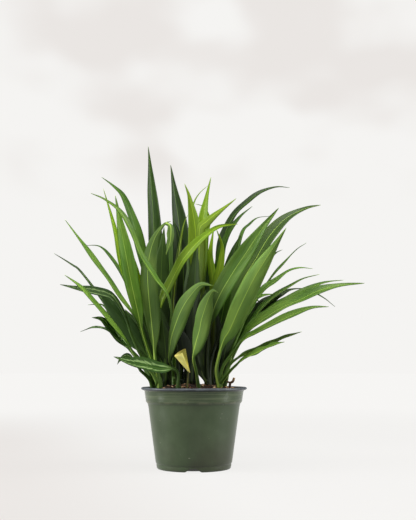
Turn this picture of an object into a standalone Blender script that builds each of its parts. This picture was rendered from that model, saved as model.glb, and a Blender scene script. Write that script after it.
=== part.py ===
"""Potted Chinese evergreen: narrow-leaved shoots standing in the soil of a moulded nursery pot.

Frame: metres, +Z up, -Y is the front. The origin is the middle of the pot's flat underside.
Every length below is written in millimetres and turned into metres where a mesh is made.
"""
import math
import random

import bmesh
import bpy
from mathutils import Matrix, Vector, noise
from mathutils.bvhtree import BVHTree

MM = 0.001
TOUCH_GAP = 0.3
CLEANINGS = [(weld, angle, method) for weld, angle in ((0.02, 1.5), (0.01, 1.5), (0.005, 1.0), (0.001, 0.3))
             for method in ("BEAUTY", "EAR_CLIP")]

# Pot
RIM_RADIUS = 81.8
RIM_TOP = 123.0
LIP_HEIGHT = 4.6
COLLAR_RADIUS = 76.6
COLLAR_FOOT_RADIUS = 74.2
LEDGE_HEIGHT = 100.2
BODY_TOP_RADIUS = 71.4
FOOT_RADIUS = 57.5
FOOT_BAND_HEIGHT = 8.5
WALL = 1.6
PAD_RADIUS = 40.0
GUTTER_HEIGHT = 4.8
POT_SIDES = 32
NOTCH_WIDTH = 26.0
NOTCH_TOP_WIDTH = 14.0
NOTCH_HEIGHT = 4.4
DRAIN_HOLES = 4
DRAIN_RADIUS = 3.2

# Soil
SOIL_EDGE = 118.0
SOIL_CROWN = 127.0
SOIL_ROUGHNESS = 2.2
SOIL_SIDES = 24
HOLE_TOP = 160.0
HOLE_FLARE = 6.0
CHIPS = 8
CHIP_LENGTH = 9.0

# Stems
STEM_RADIUS = 5.2
STEM_NECK = 3.4
STEM_FOOT = 98.0
ROOT_HEIGHT = 120.0
ROOT_STEP = 3.0
ROOT_SPREAD = 2.0
STEM_SIDES = 8

# Leaves
BLADE_THICKNESS = 0.75
MIDRIB_THICKNESS = 0.9
SHEATH_HALF_WIDTH = 3.8
STALK_HALF_WIDTH = 2.1
STALK_THICKNESS = 3.2
LEAF_FOLD = 0.22
STALK_STEPS = 3
STEP_LENGTH = 38.0
FEWEST_STEPS = 5
MOST_STEPS = 8
INNER_STEPS = 5
CLEARANCE = 0.6
NEAR_BEND = 22
BENDS = [0] + [sign * step * 7 for step in range(1, 22) for sign in (1, -1)]

# The point that the front outline of the plant was read from
EYE = Vector((21.0, -1330.0, 160.0))

GREEN = "leaf_green"
DARK = "leaf_dark"
YOUNG = "leaf_young"
PATTERNED = "leaf_patterned"

FINISHES = {
    GREEN: ((0.075, 0.17, 0.035), 0.42),
    DARK: ((0.030, 0.075, 0.020), 0.45),
    YOUNG: ((0.22, 0.40, 0.035), 0.42),
    PATTERNED: ((0.11, 0.21, 0.085), 0.45),
    "leaf_withered": ((0.66, 0.56, 0.13), 0.6),
    "dry_stem": ((0.30, 0.21, 0.09), 0.85),
    "pot_plastic": ((0.065, 0.095, 0.045), 0.38),
    "potting_mix": ((0.030, 0.020, 0.013), 0.95),
}

# Each leaf: width of the blade, turn about its midrib at the base and at the tip (0 shows its face to the
# front, 90 its edge), depth of the tip, share of the length that is stalk, and its course from the stem to
# the tip, as x and z in the pot's middle plane, with a nudge in depth where a third number is given. Depth
# slides a point along the line of sight from EYE. A leaf with no stalk hangs on from the tip before it.
SHOOTS = {
    "shoot_left_patterned": (PATTERNED, (-62, -8), [
        (22, 50, 60, -70, 0.45, [(-69, 146), (-89, 172), (-126, 206), (-144, 227), (-160, 231)]),
        (13, 60, 82, -40, 0.25, [(-67, 151), (-85, 183), (-130, 238), (-151, 266), (-180, 304),
                                 (-193, 314), (-221, 332)]),
        (30, 5, 20, -25, 0.30, [(-67, 156), (-82, 183), (-108, 220), (-128, 245), (-151, 274)]),
        (24, 50, 66, -90, 0.40, [(-67, 146), (-86, 180), (-107, 228), (-128, 261), (-150, 270),
                                 (-183, 276), (-211, 283)]),
        (16, 72, 78, -20, 0.45, [(-69, 141), (-85, 163), (-109, 192), (-138, 212), (-158, 215),
        (-178, 209)]),
        (11, 40, 60, -60, 0.40, [(-69, 136), (-88, 154), (-103, 170), (-115, 165), (-119, 158)]),
    ]),
    "shoot_left_front": (GREEN, (-52, -32), [
        (32, 12, 48, -60, 0.20, [(-59, 161), (-67, 228), (-72, 274), (-73, 307), (-69, 336), (-62, 357),
                                 (-54, 371), (-46, 380), (-37, 383)]),
        (11, 10, 20, -60, 0.0, [(-45, 379), (-38, 375, -3), (-38, 354, -5), (-41, 342, -6),
                                (-45, 330, -6)]),
        (25, 20, 30, -75, 0.30, [(-65, 161), (-77, 196), (-87, 234), (-100, 290), (-112, 350),
        (-117, 376), (-126, 425)]),
        (20, 58, 80, -55, 0.30, [(-65, 146), (-86, 167), (-106, 194), (-132, 224), (-156, 253),
                                 (-178, 278), (-204, 298)]),
        (22, 60, 80, 0, 0.30, [(-65, 164), (-87, 222), (-118, 263), (-136, 291), (-159, 322), (-182, 354), (-205, 386)]),
    ]),
    "shoot_left_back": (DARK, (-46, 32), [
        (28, 35, 35, 60, 0.30, [(-54, 176), (-60, 290), (-65, 390), (-69, 440), (-74, 505)]),
        (22, 35, 45, 40, 0.35, [(-56, 176), (-67, 262), (-81, 321), (-95, 376), (-112, 421), (-129, 440),
                                (-148, 455)]),
        (16, 60, 66, 75, 0.40, [(-60, 176), (-81, 232), (-107, 285), (-130, 323), (-150, 343),
        (-174, 345)]),
        (13, 66, 72, 60, 0.40, [(-61, 151), (-101, 198), (-129, 229), (-143, 250), (-167, 251)]),
        (32, 5, 10, 20, 0.25, [(-50, 177), (-52, 250), (-52, 310), (-48, 374)]),
        (30, 10, 10, 60, 0.30, [(-45, 177), (-41, 262), (-39, 320), (-39, 378)]),
    ]),
    "shoot_left_young": (YOUNG, (-60, 12), [
        (11, 35, 40, 10, 0.35, [(-63, 166), (-80, 226), (-113, 306), (-124, 361), (-130, 385),
                                (-145, 436)]),
        (9, 40, 40, 30, 0.35, [(-62, 177), (-72, 236), (-91, 307), (-104, 350)]),
    ]),
    "shoot_low_patterned": (PATTERNED, (-22, -44), [
        (27, 45, 50, -120, 0.28, [(-23, 137), (-24, 146), (-33, 152), (-53, 152), (-77, 157),
        (-100, 161), (-125, 170)]),
    ]),
    "shoot_middle_front": (GREEN, (-22, -16), [
        (30, 15, 60, -120, 0.22, [(-28, 146), (-38, 167), (-36, 194), (-32, 210), (-20, 242), (-5, 266),
                                  (11, 282), (30, 281)]),
        (18, 50, 80, -150, 0.30, [(-24, 156), (-28, 196), (-41, 261), (-62, 294), (-85, 330),
        (-101, 371), (-119, 400), (-143, 419), (-165, 429)]),
    ]),
    "shoot_middle_young": (YOUNG, (-4, 22), [
        (28, 20, 25, 0, 0.35, [(-6, 177), (1, 276), (2, 360), (-7, 418), (-16, 444)]),
        (23, 35, 40, 35, 0.40, [(4, 187), (13, 327), (15, 394), (26, 455)]),
        (24, 50, 50, -30, 0.40, [(2, 187), (8, 327), (9, 371), (18, 381), (32, 393), (67, 420)]),
        (9, 50, 50, 50, 0.40, [(8, 187), (20, 347), (24, 386), (15, 406), (1, 411)]),
        (8, 45, 45, 10, 0.40, [(2, 187), (-5, 327), (-5, 390), (-1, 413), (8, 429), (21, 441)]),
    ]),
    "shoot_arching_young": (YOUNG, (-40, 4), [
        (19, 30, 48, -70, 0.35, [(-46, 157), (-55, 226), (-53, 248), (-45, 270), (-23, 314), (-10, 333),
                                 (4, 349), (19, 362), (40, 375), (69, 379)]),
        (9, 35, 35, 20, 0.40, [(-38, 177), (-30, 286), (-19, 369), (-11, 394)]),
    ]),
    "shoot_middle_back": (DARK, (-20, 42), [
        (34, 34, 34, 75, 0.30, [(-20, 187), (-22, 338), (-24, 377), (-30, 418), (-38, 475)]),
        (34, 10, 10, 20, 0.25, [(-18, 187), (-17, 286), (-19, 330), (-25, 362), (-33, 385)]),
        (32, 10, 10, 30, 0.28, [(-6, 177), (8, 236), (12, 286), (9, 327), (3, 376)]),
        (28, 5, 5, 10, 0.08, [(-6, 138), (4, 158), (7, 200), (7, 264)]),
    ]),
    "shoot_right_front": (GREEN, (8, -42), [
        (31, 10, 60, -140, 0.28, [(5, 145), (0, 175), (9, 212), (12, 228), (22, 259), (30, 273), (38, 270)]),
    ]),
    "shoot_right_middle": (GREEN, (22, -10), [
        (32, 20, 30, -70, 0.30, [(19, 147), (20, 189), (28, 235), (40, 266), (61, 302), (77, 326),
                                 (108, 372), (134, 405)]),
        (30, 25, 55, 30, 0.35, [(26, 167), (55, 245), (76, 289), (98, 325), (119, 360), (145, 388),
        (176, 404), (201, 410)]),
        (24, 5, 10, 0, 0.10, [(16, 150), (13, 190), (14, 225), (18, 262)]),
        (22, 5, 10, 15, 0.06, [(13, 142), (6, 172), (4, 205), (6, 240)]),
    ]),
    "shoot_right_front_tall": (GREEN, (38, -34), [
        (30, 10, 15, -140, 0.22, [(35, 145), (37, 162), (46, 195), (56, 212), (73, 250), (97, 297),
        (127, 344), (146, 373)]),
        (22, 52, 75, -110, 0.30, [(44, 156), (76, 195), (96, 207), (120, 219), (151, 234), (183, 246),
        (211, 248)]),
        (18, 62, 70, -80, 0.30, [(46, 141), (58, 162), (81, 174), (112, 186), (139, 199), (168, 209)]),
        (16, 65, 70, -150, 0.30, [(46, 137), (60, 154), (78, 167), (103, 179), (125, 189), (141, 193)]),
    ]),
    "shoot_right_outer": (GREEN, (44, -2), [
        (27, 40, 78, -50, 0.20, [(50, 136), (52, 150), (58, 177), (78, 203), (106, 227), (138, 247),
        (168, 260), (195, 273), (226, 281), (268, 285)]),
        (20, 60, 72, 10, 0.28, [(57, 165), (87, 218), (119, 242), (150, 261), (179, 276), (205, 286),
                                (235, 290)]),
        (18, 66, 72, 60, 0.35, [(57, 170), (100, 239), (127, 265), (152, 281), (172, 292), (197, 299)]),
        (18, 62, 68, 95, 0.35, [(56, 176), (86, 242), (108, 273), (125, 287), (147, 303), (167, 309),
                                (187, 308)]),
        (15, 25, 30, 50, 0.40, [(56, 172), (70, 230), (88, 256), (106, 265), (125, 268)]),
    ]),
    "shoot_right_back": (DARK, (33, 36), [
        (21, 40, 75, 90, 0.35, [(34, 197), (38, 297), (43, 346), (52, 373), (65, 396), (83, 413),
        (104, 430), (130, 439), (152, 438)]),
        (20, 45, 50, 50, 0.35, [(34, 197), (41, 317), (50, 355), (70, 388), (92, 408)]),
        (15, 50, 56, 115, 0.40, [(40, 197), (62, 315), (76, 364), (87, 378), (100, 389), (120, 392)]),
        (31, 15, 20, 20, 0.20, [(34, 177), (49, 262), (62, 332), (75, 364)]),
        (9, 60, 70, 80, 0.40, [(45, 187), (92, 254), (112, 281), (130, 304), (159, 336), (177, 349)]),
        (19, 50, 55, 125, 0.40, [(50, 177), (80, 220), (109, 253), (131, 264), (150, 274), (174, 277)]),
        (14, 40, 50, 60, 0.40, [(45, 187), (80, 276), (108, 309), (128, 332), (139, 338)]),
        (30, 10, 15, 40, 0.35, [(48, 177), (84, 226), (112, 250), (140, 268)]),
        (8, 60, 70, 60, 0.40, [(60, 176), (105, 236), (148, 264), (181, 271), (203, 262), (221, 248)]),
    ]),
    "shoot_pale_young": (YOUNG, (24, 18), [
        (13, 15, 15, 0, 0.42, [(28, 177), (30, 274), (27, 307), (25, 332), (31, 374)]),
        (13, 15, 15, -15, 0.42, [(30, 177), (33, 274), (40, 307), (44, 342), (35, 371)]),
    ]),
}

# Leaves that fill the heart of the plant, placed by a rule: finish, place of the stem, number of leaves, and
# how far left and right their tips reach in the middle plane.
INNER_SHOOTS = {
    "shoot_inner_left": (DARK, (-42, -14), 5, -112, -48),
    "shoot_inner_middle": (DARK, (-6, -10), 5, -44, 26),
    "shoot_inner_right": (DARK, (36, 14), 5, 22, 108),
}
INNER_WIDTH = (24.0, 30.0)
INNER_DEPTH = (-20.0, 70.0)

# Shoots behind, placed by a rule too: finish, place of the stem, number of leaves, and how far left and right
# their tips reach.
REAR_SHOOTS = {
    "shoot_rear_left": (GREEN, (-33, 52), 5, -130, -20),
    "shoot_rear_middle": (GREEN, (0, 60), 6, -50, 50),
    "shoot_rear_right": (GREEN, (30, 53), 5, 25, 130),
}
REAR_WIDTH = (20.0, 29.0)
REAR_DEPTH = (95.0, 215.0)
LOWEST_TIP = 185.0
DOME_TOP = 385.0
DOME_FALL = 0.95
SKIRT_MIDDLE = -8.0
SKIRT_REACH = 56.0
SKIRT_FOOT = 147.0
SKIRT_SLOPE = 1.35
SEED = 11

ALL_SHOOTS = {**SHOOTS, **INNER_SHOOTS, **REAR_SHOOTS}

# The withered leaf, curled into a funnel, and the dry stub of an old stem
WITHERED_STEM = (-9, -54)
WITHERED_NECK = (-7, 145)
WITHERED_MOUTH = (-22, 176)
WITHERED_WIDTH = 20.0
WITHERED_CURL = 140.0
WITHERED_TURN = 60.0
WITHERED_STALK = 1.5
STUB_PLACE = (55, -24)
STUB_RADIUS = 2.4
STUB_HEIGHT = 27.0
SCAR_RADIUS = 1.6


def clear_scene():
    for item in list(bpy.data.objects):
        bpy.data.objects.remove(item, do_unlink=True)


def finish(name):
    """One Principled material for each finish."""
    material = bpy.data.materials.get(name)
    if material is None:
        colour, roughness = FINISHES[name]
        material = bpy.data.materials.new(name)
        material.use_nodes = True
        shader = material.node_tree.nodes["Principled BSDF"]
        shader.inputs["Base Color"].default_value = (*colour, 1.0)
        shader.inputs["Roughness"].default_value = roughness
        shader.inputs["Metallic"].default_value = 0.0
    return material


def new_object(name, bm, finish_name=None):
    """Turns a bmesh in millimetres into an object in metres."""
    bmesh.ops.scale(bm, vec=(MM, MM, MM), verts=bm.verts)
    mesh = bpy.data.meshes.new(name)
    bm.to_mesh(mesh)
    bm.free()
    item = bpy.data.objects.new(name, mesh)
    bpy.context.scene.collection.objects.link(item)
    if finish_name:
        mesh.materials.append(finish(finish_name))
    return item


def shade_round(item, angle=35.0):
    item.data.shade_smooth()
    item.data.set_sharp_from_angle(angle=math.radians(angle))


def turned(profile, sides):
    """Spins a closed outline of (radius, height) points round the Z axis into a solid."""
    bm = bmesh.new()
    points = [bm.verts.new((radius, 0.0, height)) for radius, height in profile]
    edges = [bm.edges.new((a, b)) for a, b in zip(points, points[1:])]
    on_axis = profile[0][0] == 0.0 and profile[-1][0] == 0.0
    if not on_axis:
        edges.append(bm.edges.new((points[-1], points[0])))
    bmesh.ops.spin(bm, geom=points + edges, angle=math.tau, steps=sides, axis=(0, 0, 1), cent=(0, 0, 0),
                   use_merge=True)
    bmesh.ops.remove_doubles(bm, verts=bm.verts, dist=0.01)
    bmesh.ops.recalc_face_normals(bm, faces=bm.faces)
    return bm


def prism(radius, low, high, sides, place=(0.0, 0.0), top_radius=None):
    """An upright few-sided post, as a bmesh."""
    bm = bmesh.new()
    top = radius if top_radius is None else top_radius
    bmesh.ops.create_cone(bm, cap_ends=True, segments=sides, radius1=radius, radius2=top, depth=high - low)
    bmesh.ops.translate(bm, verts=bm.verts, vec=(place[0], place[1], (low + high) / 2))
    return bm


def as_cutter(item):
    item.hide_render = True
    item.display_type = "WIRE"


def apply_boolean(item, tools, operation, solver="EXACT"):
    """Joins or cuts with every tool at once, applies the result and removes the tools."""
    group = bpy.data.collections.new(item.name + "_tools")
    bpy.context.scene.collection.children.link(group)
    for tool in tools:
        group.objects.link(tool)
    modifier = item.modifiers.new(operation.lower(), "BOOLEAN")
    modifier.operand_type = "COLLECTION"
    modifier.collection = group
    modifier.operation = operation
    modifier.solver = solver
    graph = bpy.context.evaluated_depsgraph_get()
    result = bpy.data.meshes.new_from_object(item.evaluated_get(graph))
    item.modifiers.clear()
    item.data = result
    for tool in tools:
        bpy.data.objects.remove(tool, do_unlink=True)
    bpy.data.collections.remove(group)


def islands(bm):
    """The connected shells of a mesh, each a list of its faces."""
    left = set(bm.faces)
    while left:
        shell, edge_of_shell = [], [left.pop()]
        while edge_of_shell:
            face = edge_of_shell.pop()
            shell.append(face)
            for edge in face.edges:
                for other in edge.link_faces:
                    if other in left:
                        left.remove(other)
                        edge_of_shell.append(other)
        yield shell


def shell_volume(shell):
    volume = 0.0
    for face in shell:
        first = face.verts[0].co
        for a, b in zip(face.verts[1:], face.verts[2:]):
            volume += first.dot(a.co.cross(b.co)) / 6
    return volume


def keep_outer_shell(bm):
    """Removes the shells of hollows that leaves crossing each other have sealed in, so they are solid."""
    shells = sorted(islands(bm), key=shell_volume)
    inner = [face for shell in shells[:-1] for face in shell]
    bmesh.ops.delete(bm, geom=inner, context="FACES")


def clean(item):
    """Joins the flat faces and the points that a Boolean split, as far as the mesh stays closed."""
    for weld, flat_angle, method in CLEANINGS:
        bm = bmesh.new()
        bm.from_mesh(item.data)
        keep_outer_shell(bm)
        bmesh.ops.remove_doubles(bm, verts=bm.verts, dist=weld * MM)
        bmesh.ops.dissolve_limit(bm, angle_limit=math.radians(flat_angle), verts=bm.verts, edges=bm.edges)
        bmesh.ops.dissolve_degenerate(bm, edges=bm.edges, dist=weld * MM)
        bmesh.ops.triangulate(bm, faces=bm.faces, ngon_method=method)
        keep_outer_shell(bm)
        odd = sum(1 for edge in bm.edges if len(edge.link_faces) != 2)
        if odd == 0:
            bm.to_mesh(item.data)
            bm.free()
            break
        bm.free()
        print(item.name, "has", odd, "open edges at a weld of", weld, "mm")


def pot_outer_radius(height):
    """The body's taper between the foot and the ledge under the collar."""
    share = (height - FOOT_BAND_HEIGHT) / (LEDGE_HEIGHT - FOOT_BAND_HEIGHT)
    return FOOT_RADIUS + 1.0 + (BODY_TOP_RADIUS - FOOT_RADIUS - 1.0) * share


def make_pot():
    """The shell with its lip, collar, ledge, foot band and raised gutter, cut by notches and drain holes."""
    lip_foot = RIM_TOP - LIP_HEIGHT
    outline = [
        (0.0, 0.0),
        (PAD_RADIUS, 0.0),
        (PAD_RADIUS + 3.5, GUTTER_HEIGHT),
        (FOOT_RADIUS - 6.0, GUTTER_HEIGHT),
        (FOOT_RADIUS - 4.4, 0.0),
        (FOOT_RADIUS - 2.6, 0.0),
        (FOOT_RADIUS - 1.0, 0.9),
        (FOOT_RADIUS - 0.2, 3.0),
        (FOOT_RADIUS, FOOT_BAND_HEIGHT - 1.0),
        (FOOT_RADIUS + 0.2, FOOT_BAND_HEIGHT),
        (FOOT_RADIUS + 1.1, FOOT_BAND_HEIGHT + 1.2),
        (pot_outer_radius(55.0), 55.0),
        (BODY_TOP_RADIUS, LEDGE_HEIGHT - 3.0),
        (BODY_TOP_RADIUS + 0.6, LEDGE_HEIGHT - 1.2),
        (COLLAR_FOOT_RADIUS, LEDGE_HEIGHT + 1.0),
        (COLLAR_RADIUS, lip_foot - 1.5),
        (COLLAR_RADIUS + 1.6, lip_foot),
        (RIM_RADIUS - 1.2, lip_foot + 0.8),
        (RIM_RADIUS, lip_foot + 2.2),
        (RIM_RADIUS - 0.3, RIM_TOP - 0.9),
        (RIM_RADIUS - 1.6, RIM_TOP),
        (COLLAR_RADIUS, RIM_TOP - 0.2),
        (COLLAR_RADIUS - WALL, RIM_TOP - 1.6),
        (COLLAR_FOOT_RADIUS - WALL, LEDGE_HEIGHT + 1.0),
        (BODY_TOP_RADIUS - WALL, LEDGE_HEIGHT - 1.5),
        (pot_outer_radius(55.0) - WALL, 55.0),
        (FOOT_RADIUS - WALL, FOOT_BAND_HEIGHT + 1.2),
        (FOOT_RADIUS - 3.0, GUTTER_HEIGHT + 2.2),
        (PAD_RADIUS + 2.6, GUTTER_HEIGHT + 2.0),
        (PAD_RADIUS - 1.0, 2.2),
        (0.0, 2.2),
    ]
    pot = new_object("pot", turned(outline, POT_SIDES), "pot_plastic")
    cutters = [notch_cutter(index) for index in range(4)]
    cutters += [drain_cutter(index) for index in range(DRAIN_HOLES)]
    apply_boolean(pot, cutters, "DIFFERENCE")
    clean(pot)
    shade_round(pot)
    return pot


def notch_cutter(index):
    """A low arch with smooth shoulders, run radially through the foot ring."""
    half, top_half = NOTCH_WIDTH / 2, NOTCH_TOP_WIDTH / 2
    steps = 4
    left = []
    for step in range(steps + 1):
        share = step / steps
        rise = (1 - math.cos(math.pi * share)) / 2
        left.append((-half + (half - top_half) * share, NOTCH_HEIGHT * rise))
    arch = [(-half, -3.0)] + left + [(-x, z) for x, z in reversed(left)] + [(half, -3.0)]
    bm = bmesh.new()
    face = bm.faces.new([bm.verts.new((x, -(FOOT_RADIUS + 6.0), z)) for x, z in arch])
    pushed = bmesh.ops.extrude_face_region(bm, geom=[face])
    moved = [item for item in pushed["geom"] if isinstance(item, bmesh.types.BMVert)]
    bmesh.ops.translate(bm, verts=moved, vec=(0.0, 12.5, 0.0))
    bmesh.ops.rotate(bm, verts=bm.verts, cent=(0, 0, 0), matrix=Matrix.Rotation(index * math.pi / 2, 3, "Z"))
    bmesh.ops.recalc_face_normals(bm, faces=bm.faces)
    item = new_object(f"notch_cutter_{index}", bm)
    as_cutter(item)
    return item


def drain_cutter(index):
    angle = math.tau * (index + 0.5) / DRAIN_HOLES
    middle = (PAD_RADIUS + FOOT_RADIUS - 2.5) / 2
    place = (middle * math.cos(angle), middle * math.sin(angle))
    item = new_object(f"drain_cutter_{index}", prism(DRAIN_RADIUS, 2.0, 12.0, 8, place))
    as_cutter(item)
    return item


def soil_height(x, y):
    """Mounded and crumbly, lower at the wall."""
    radius = math.hypot(x, y) / (COLLAR_RADIUS - WALL)
    mound = SOIL_EDGE + (SOIL_CROWN - SOIL_EDGE) * (1 - radius ** 2)
    crumb = noise.noise(Vector((x / 9.0, y / 9.0, 0.5))) + 0.5 * noise.noise(Vector((x / 4.0, y / 4.0, 7.5)))
    return mound + SOIL_ROUGHNESS * crumb * (1 - radius ** 6)


def make_soil(holes):
    """The soil fills the pot to just under its rim. Every stem has a plain hole in it."""
    gap = TOUCH_GAP
    outline = [
        (0.0, 2.2 + gap),
        (PAD_RADIUS - 1.4, 2.2 + gap),
        (PAD_RADIUS + 2.4, GUTTER_HEIGHT + 2.0 + gap),
        (FOOT_RADIUS - 3.4, GUTTER_HEIGHT + 2.2 + gap),
        (FOOT_RADIUS - WALL - gap - 0.1, FOOT_BAND_HEIGHT + 1.6),
        (pot_outer_radius(55.0) - WALL - gap - 0.1, 55.0),
        (BODY_TOP_RADIUS - WALL - gap - 0.1, LEDGE_HEIGHT - 1.0),
        (COLLAR_FOOT_RADIUS - WALL - gap - 0.1, LEDGE_HEIGHT + 1.5),
    ]
    edge_radius = COLLAR_FOOT_RADIUS - WALL - gap + 1.2
    rings = 4
    for ring in range(rings + 1):
        outline.append((edge_radius * (1 - ring / rings), SOIL_EDGE))
    bm = turned(outline, SOIL_SIDES)
    for vert in bm.verts:
        if vert.co.z > SOIL_EDGE - 0.01:
            vert.co.z = soil_height(vert.co.x, vert.co.y)
    soil = new_object("soil", bm, "potting_mix")
    apply_boolean(soil, [chip(index, holes) for index in range(CHIPS)], "UNION")
    cutters = []
    for index, (x, y, radius) in enumerate(holes):
        radius += TOUCH_GAP
        post = prism(radius, STEM_FOOT - TOUCH_GAP, HOLE_TOP, STEM_SIDES, (x, y), radius + HOLE_FLARE)
        cutter = new_object(f"hole_cutter_{index}", post)
        as_cutter(cutter)
        cutters.append(cutter)
    apply_boolean(soil, cutters, "DIFFERENCE")
    clean(soil)
    shade_round(soil, 50.0)
    return soil


def chip(index, holes):
    """One flake of bark lying half sunk in the soil, clear of every stem."""
    rng = random.Random(SEED * 1000 + index)
    while True:
        angle = rng.uniform(0.0, math.tau)
        radius = (COLLAR_FOOT_RADIUS - 9.0) * math.sqrt(rng.random())
        x, y = radius * math.cos(angle), radius * math.sin(angle)
        if all(math.hypot(x - hx, y - hy) > hr + CHIP_LENGTH * 0.72 for hx, hy, hr in holes):
            break
    bm = bmesh.new()
    bmesh.ops.create_icosphere(bm, subdivisions=1, radius=0.5)
    length = CHIP_LENGTH * rng.uniform(0.55, 1.0)
    size = (length, length * rng.uniform(0.45, 0.7), length * rng.uniform(0.3, 0.45))
    bmesh.ops.scale(bm, vec=size, verts=bm.verts)
    spin = Matrix.Rotation(rng.uniform(0, math.tau), 3, "Z") @ Matrix.Rotation(rng.uniform(-0.4, 0.4), 3, "X")
    bmesh.ops.rotate(bm, verts=bm.verts, cent=(0, 0, 0), matrix=spin)
    bmesh.ops.translate(bm, verts=bm.verts, vec=(x, y, soil_height(x, y) + 0.4))
    return new_object(f"chip_{index}", bm)


def along_sight(x, z, depth):
    """Slides a point of the middle plane along the line of sight to a depth."""
    share = (depth - EYE.y) / (0.0 - EYE.y)
    return Vector((EYE.x + (x - EYE.x) * share, depth, EYE.z + (z - EYE.z) * share))


def spline(points):
    """A smooth curve through the points, finely stepped, with its length at each step."""
    ends = [points[0] * 2 - points[1]] + list(points) + [points[-1] * 2 - points[-2]]
    dense = []
    for a, b, c, d in zip(ends, ends[1:], ends[2:], ends[3:]):
        for step in range(12):
            t = step / 12
            dense.append(0.5 * ((2 * b) + (c - a) * t + (2 * a - 5 * b + 4 * c - d) * t * t
                                + (3 * b - a - 3 * c + d) * t ** 3))
    dense.append(points[-1].copy())
    lengths = [0.0]
    for a, b in zip(dense, dense[1:]):
        lengths.append(lengths[-1] + (b - a).length)
    return dense, lengths


def at_length(dense, lengths, wanted):
    for index in range(1, len(lengths)):
        if lengths[index] >= wanted:
            span = lengths[index] - lengths[index - 1]
            share = 0.0 if span == 0 else (wanted - lengths[index - 1]) / span
            return dense[index - 1].lerp(dense[index], share)
    return dense[-1].copy()


def blade_shape(t):
    """Half width along a lance-shaped blade, 1 at its widest, with a long drawn-out tip."""
    return max(0.0, math.sin(math.pi * t ** 0.72)) ** 0.85


def root_place(stem, x, depth, rise):
    """Where a leaf starts in its stem, off the stem's middle towards the leaf's own side."""
    out = Vector((x - stem[0], depth - stem[1])).normalized() * ROOT_SPREAD
    return Vector((stem[0] + out.x, stem[1] + out.y, rise))


def seen_course(stem, depth, course, rise, hanging=False):
    """The hand-read course of a leaf, from inside its stem out to its tip."""
    if hanging:
        return [along_sight(x, z, depth + sum(nudge)) for x, z, *nudge in course]
    root = root_place(stem, course[-1][0], depth, rise)
    flat = [Vector((stem[0], rise))] + [Vector(point[:2]) for point in course]
    reach = [0.0]
    for a, b in zip(flat, flat[1:]):
        reach.append(reach[-1] + (b - a).length)
    points = [root]
    for (x, z, *nudge), length in zip(course, reach[1:]):
        lean = (length / reach[-1]) ** 1.2
        points.append(along_sight(x, z, stem[1] + (depth - stem[1]) * lean + sum(nudge)))
    return points


def side_of_seen(middle, tangent, turn, leftward):
    """Width direction of a blade turned from facing the front."""
    sight = (middle - EYE).normalized()
    across = tangent.cross(sight).normalized()
    if leftward:
        across = -across
    away = across.cross(tangent).normalized()
    if away.y < 0:
        away = -away
    return (across * math.cos(turn) + away * math.sin(turn)).normalized()


def leaf_mesh(points, width, side_at_middle, twist, stalk, most_steps=MOST_STEPS, extra=0.0):
    """One closed leaf, as points and triangles: a flattened stalk that widens into a thin folded blade."""
    dense, lengths = spline(points)
    total = lengths[-1]
    steps = max(FEWEST_STEPS, min(most_steps, round(total * (1 - stalk) / STEP_LENGTH)))
    stations = [total * stalk * step / STALK_STEPS for step in range(STALK_STEPS)] if stalk else []
    stations += [total * (stalk + (1 - stalk) * step / steps) for step in range(steps + 1)]
    centres = [at_length(dense, lengths, value) for value in stations]
    tangents = []
    for index in range(len(centres)):
        before, after = centres[max(index - 1, 0)], centres[min(index + 1, len(centres) - 1)]
        tangents.append((after - before).normalized())
    middle = len(centres) // 2 + 1
    sides = [None] * len(centres)
    sides[middle] = (side_at_middle - tangents[middle] * side_at_middle.dot(tangents[middle])).normalized()
    for index in range(middle + 1, len(centres)):
        turn = tangents[index - 1].rotation_difference(tangents[index])
        sides[index] = turn @ sides[index - 1]
    for index in range(middle - 1, -1, -1):
        turn = tangents[index + 1].rotation_difference(tangents[index])
        sides[index] = turn @ sides[index + 1]
    up = sides[middle].cross(tangents[middle])
    inward = Vector((-centres[-1].x, -centres[-1].y, 0.0)).normalized()
    flip = 1.0 if up.dot(Vector((0, 0, 1)) * 0.7 + inward * 0.3) > 0 else -1.0
    verts = []
    for index, (centre, tangent) in enumerate(zip(centres, tangents)):
        share = (stations[index] / total - stalk) / (1 - stalk)
        angle = twist * (share - 0.5)
        side = Matrix.Rotation(angle, 3, tangent) @ sides[index]
        normal = side.cross(tangent).normalized() * flip
        blade = blade_shape(share) if share > 0 else 0.0
        down_stalk = -share * (1 - stalk) / stalk if share < 0 else 0.0
        sheath = STALK_HALF_WIDTH + (SHEATH_HALF_WIDTH - STALK_HALF_WIDTH) * down_stalk ** 2
        half = max(blade * width / 2, sheath * (1 - max(share, 0.0) * 0.7)) + extra
        open_share = min(1.0, max(0.0, share / 0.15))
        rim = STALK_THICKNESS * 0.6 * (1 - open_share) + BLADE_THICKNESS * open_share + extra
        thick = BLADE_THICKNESS + MIDRIB_THICKNESS * (1 - max(share, 0.0))
        keel = STALK_THICKNESS * (1 - open_share) + thick * open_share + extra
        lift = LEAF_FOLD * half * open_share
        left, right = centre - side * half + normal * lift, centre + side * half + normal * lift
        verts += [left + normal * extra, centre + normal * extra, right + normal * extra,
                  right - normal * rim, centre - normal * keel, left - normal * rim]
    triangles = []
    rings = len(centres)
    for ring in range(rings - 1):
        for corner in range(6):
            following = (corner + 1) % 6
            a, b = ring * 6 + corner, ring * 6 + following
            c, d = b + 6, a + 6
            if corner in (3, 4):
                triangles += [(a, b, d), (b, c, d)]
            else:
                triangles += [(a, b, c), (a, c, d)]
    last = (rings - 1) * 6
    for a, b, c in ((0, 1, 5), (1, 4, 5), (1, 3, 4), (1, 2, 3)):
        triangles.append((a, c, b))
        triangles.append((last + a, last + b, last + c))
    volume = sum(verts[a].dot(verts[b].cross(verts[c])) for a, b, c in triangles)
    if volume < 0:
        triangles = [(a, c, b) for a, b, c in triangles]
    return verts, triangles


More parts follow.
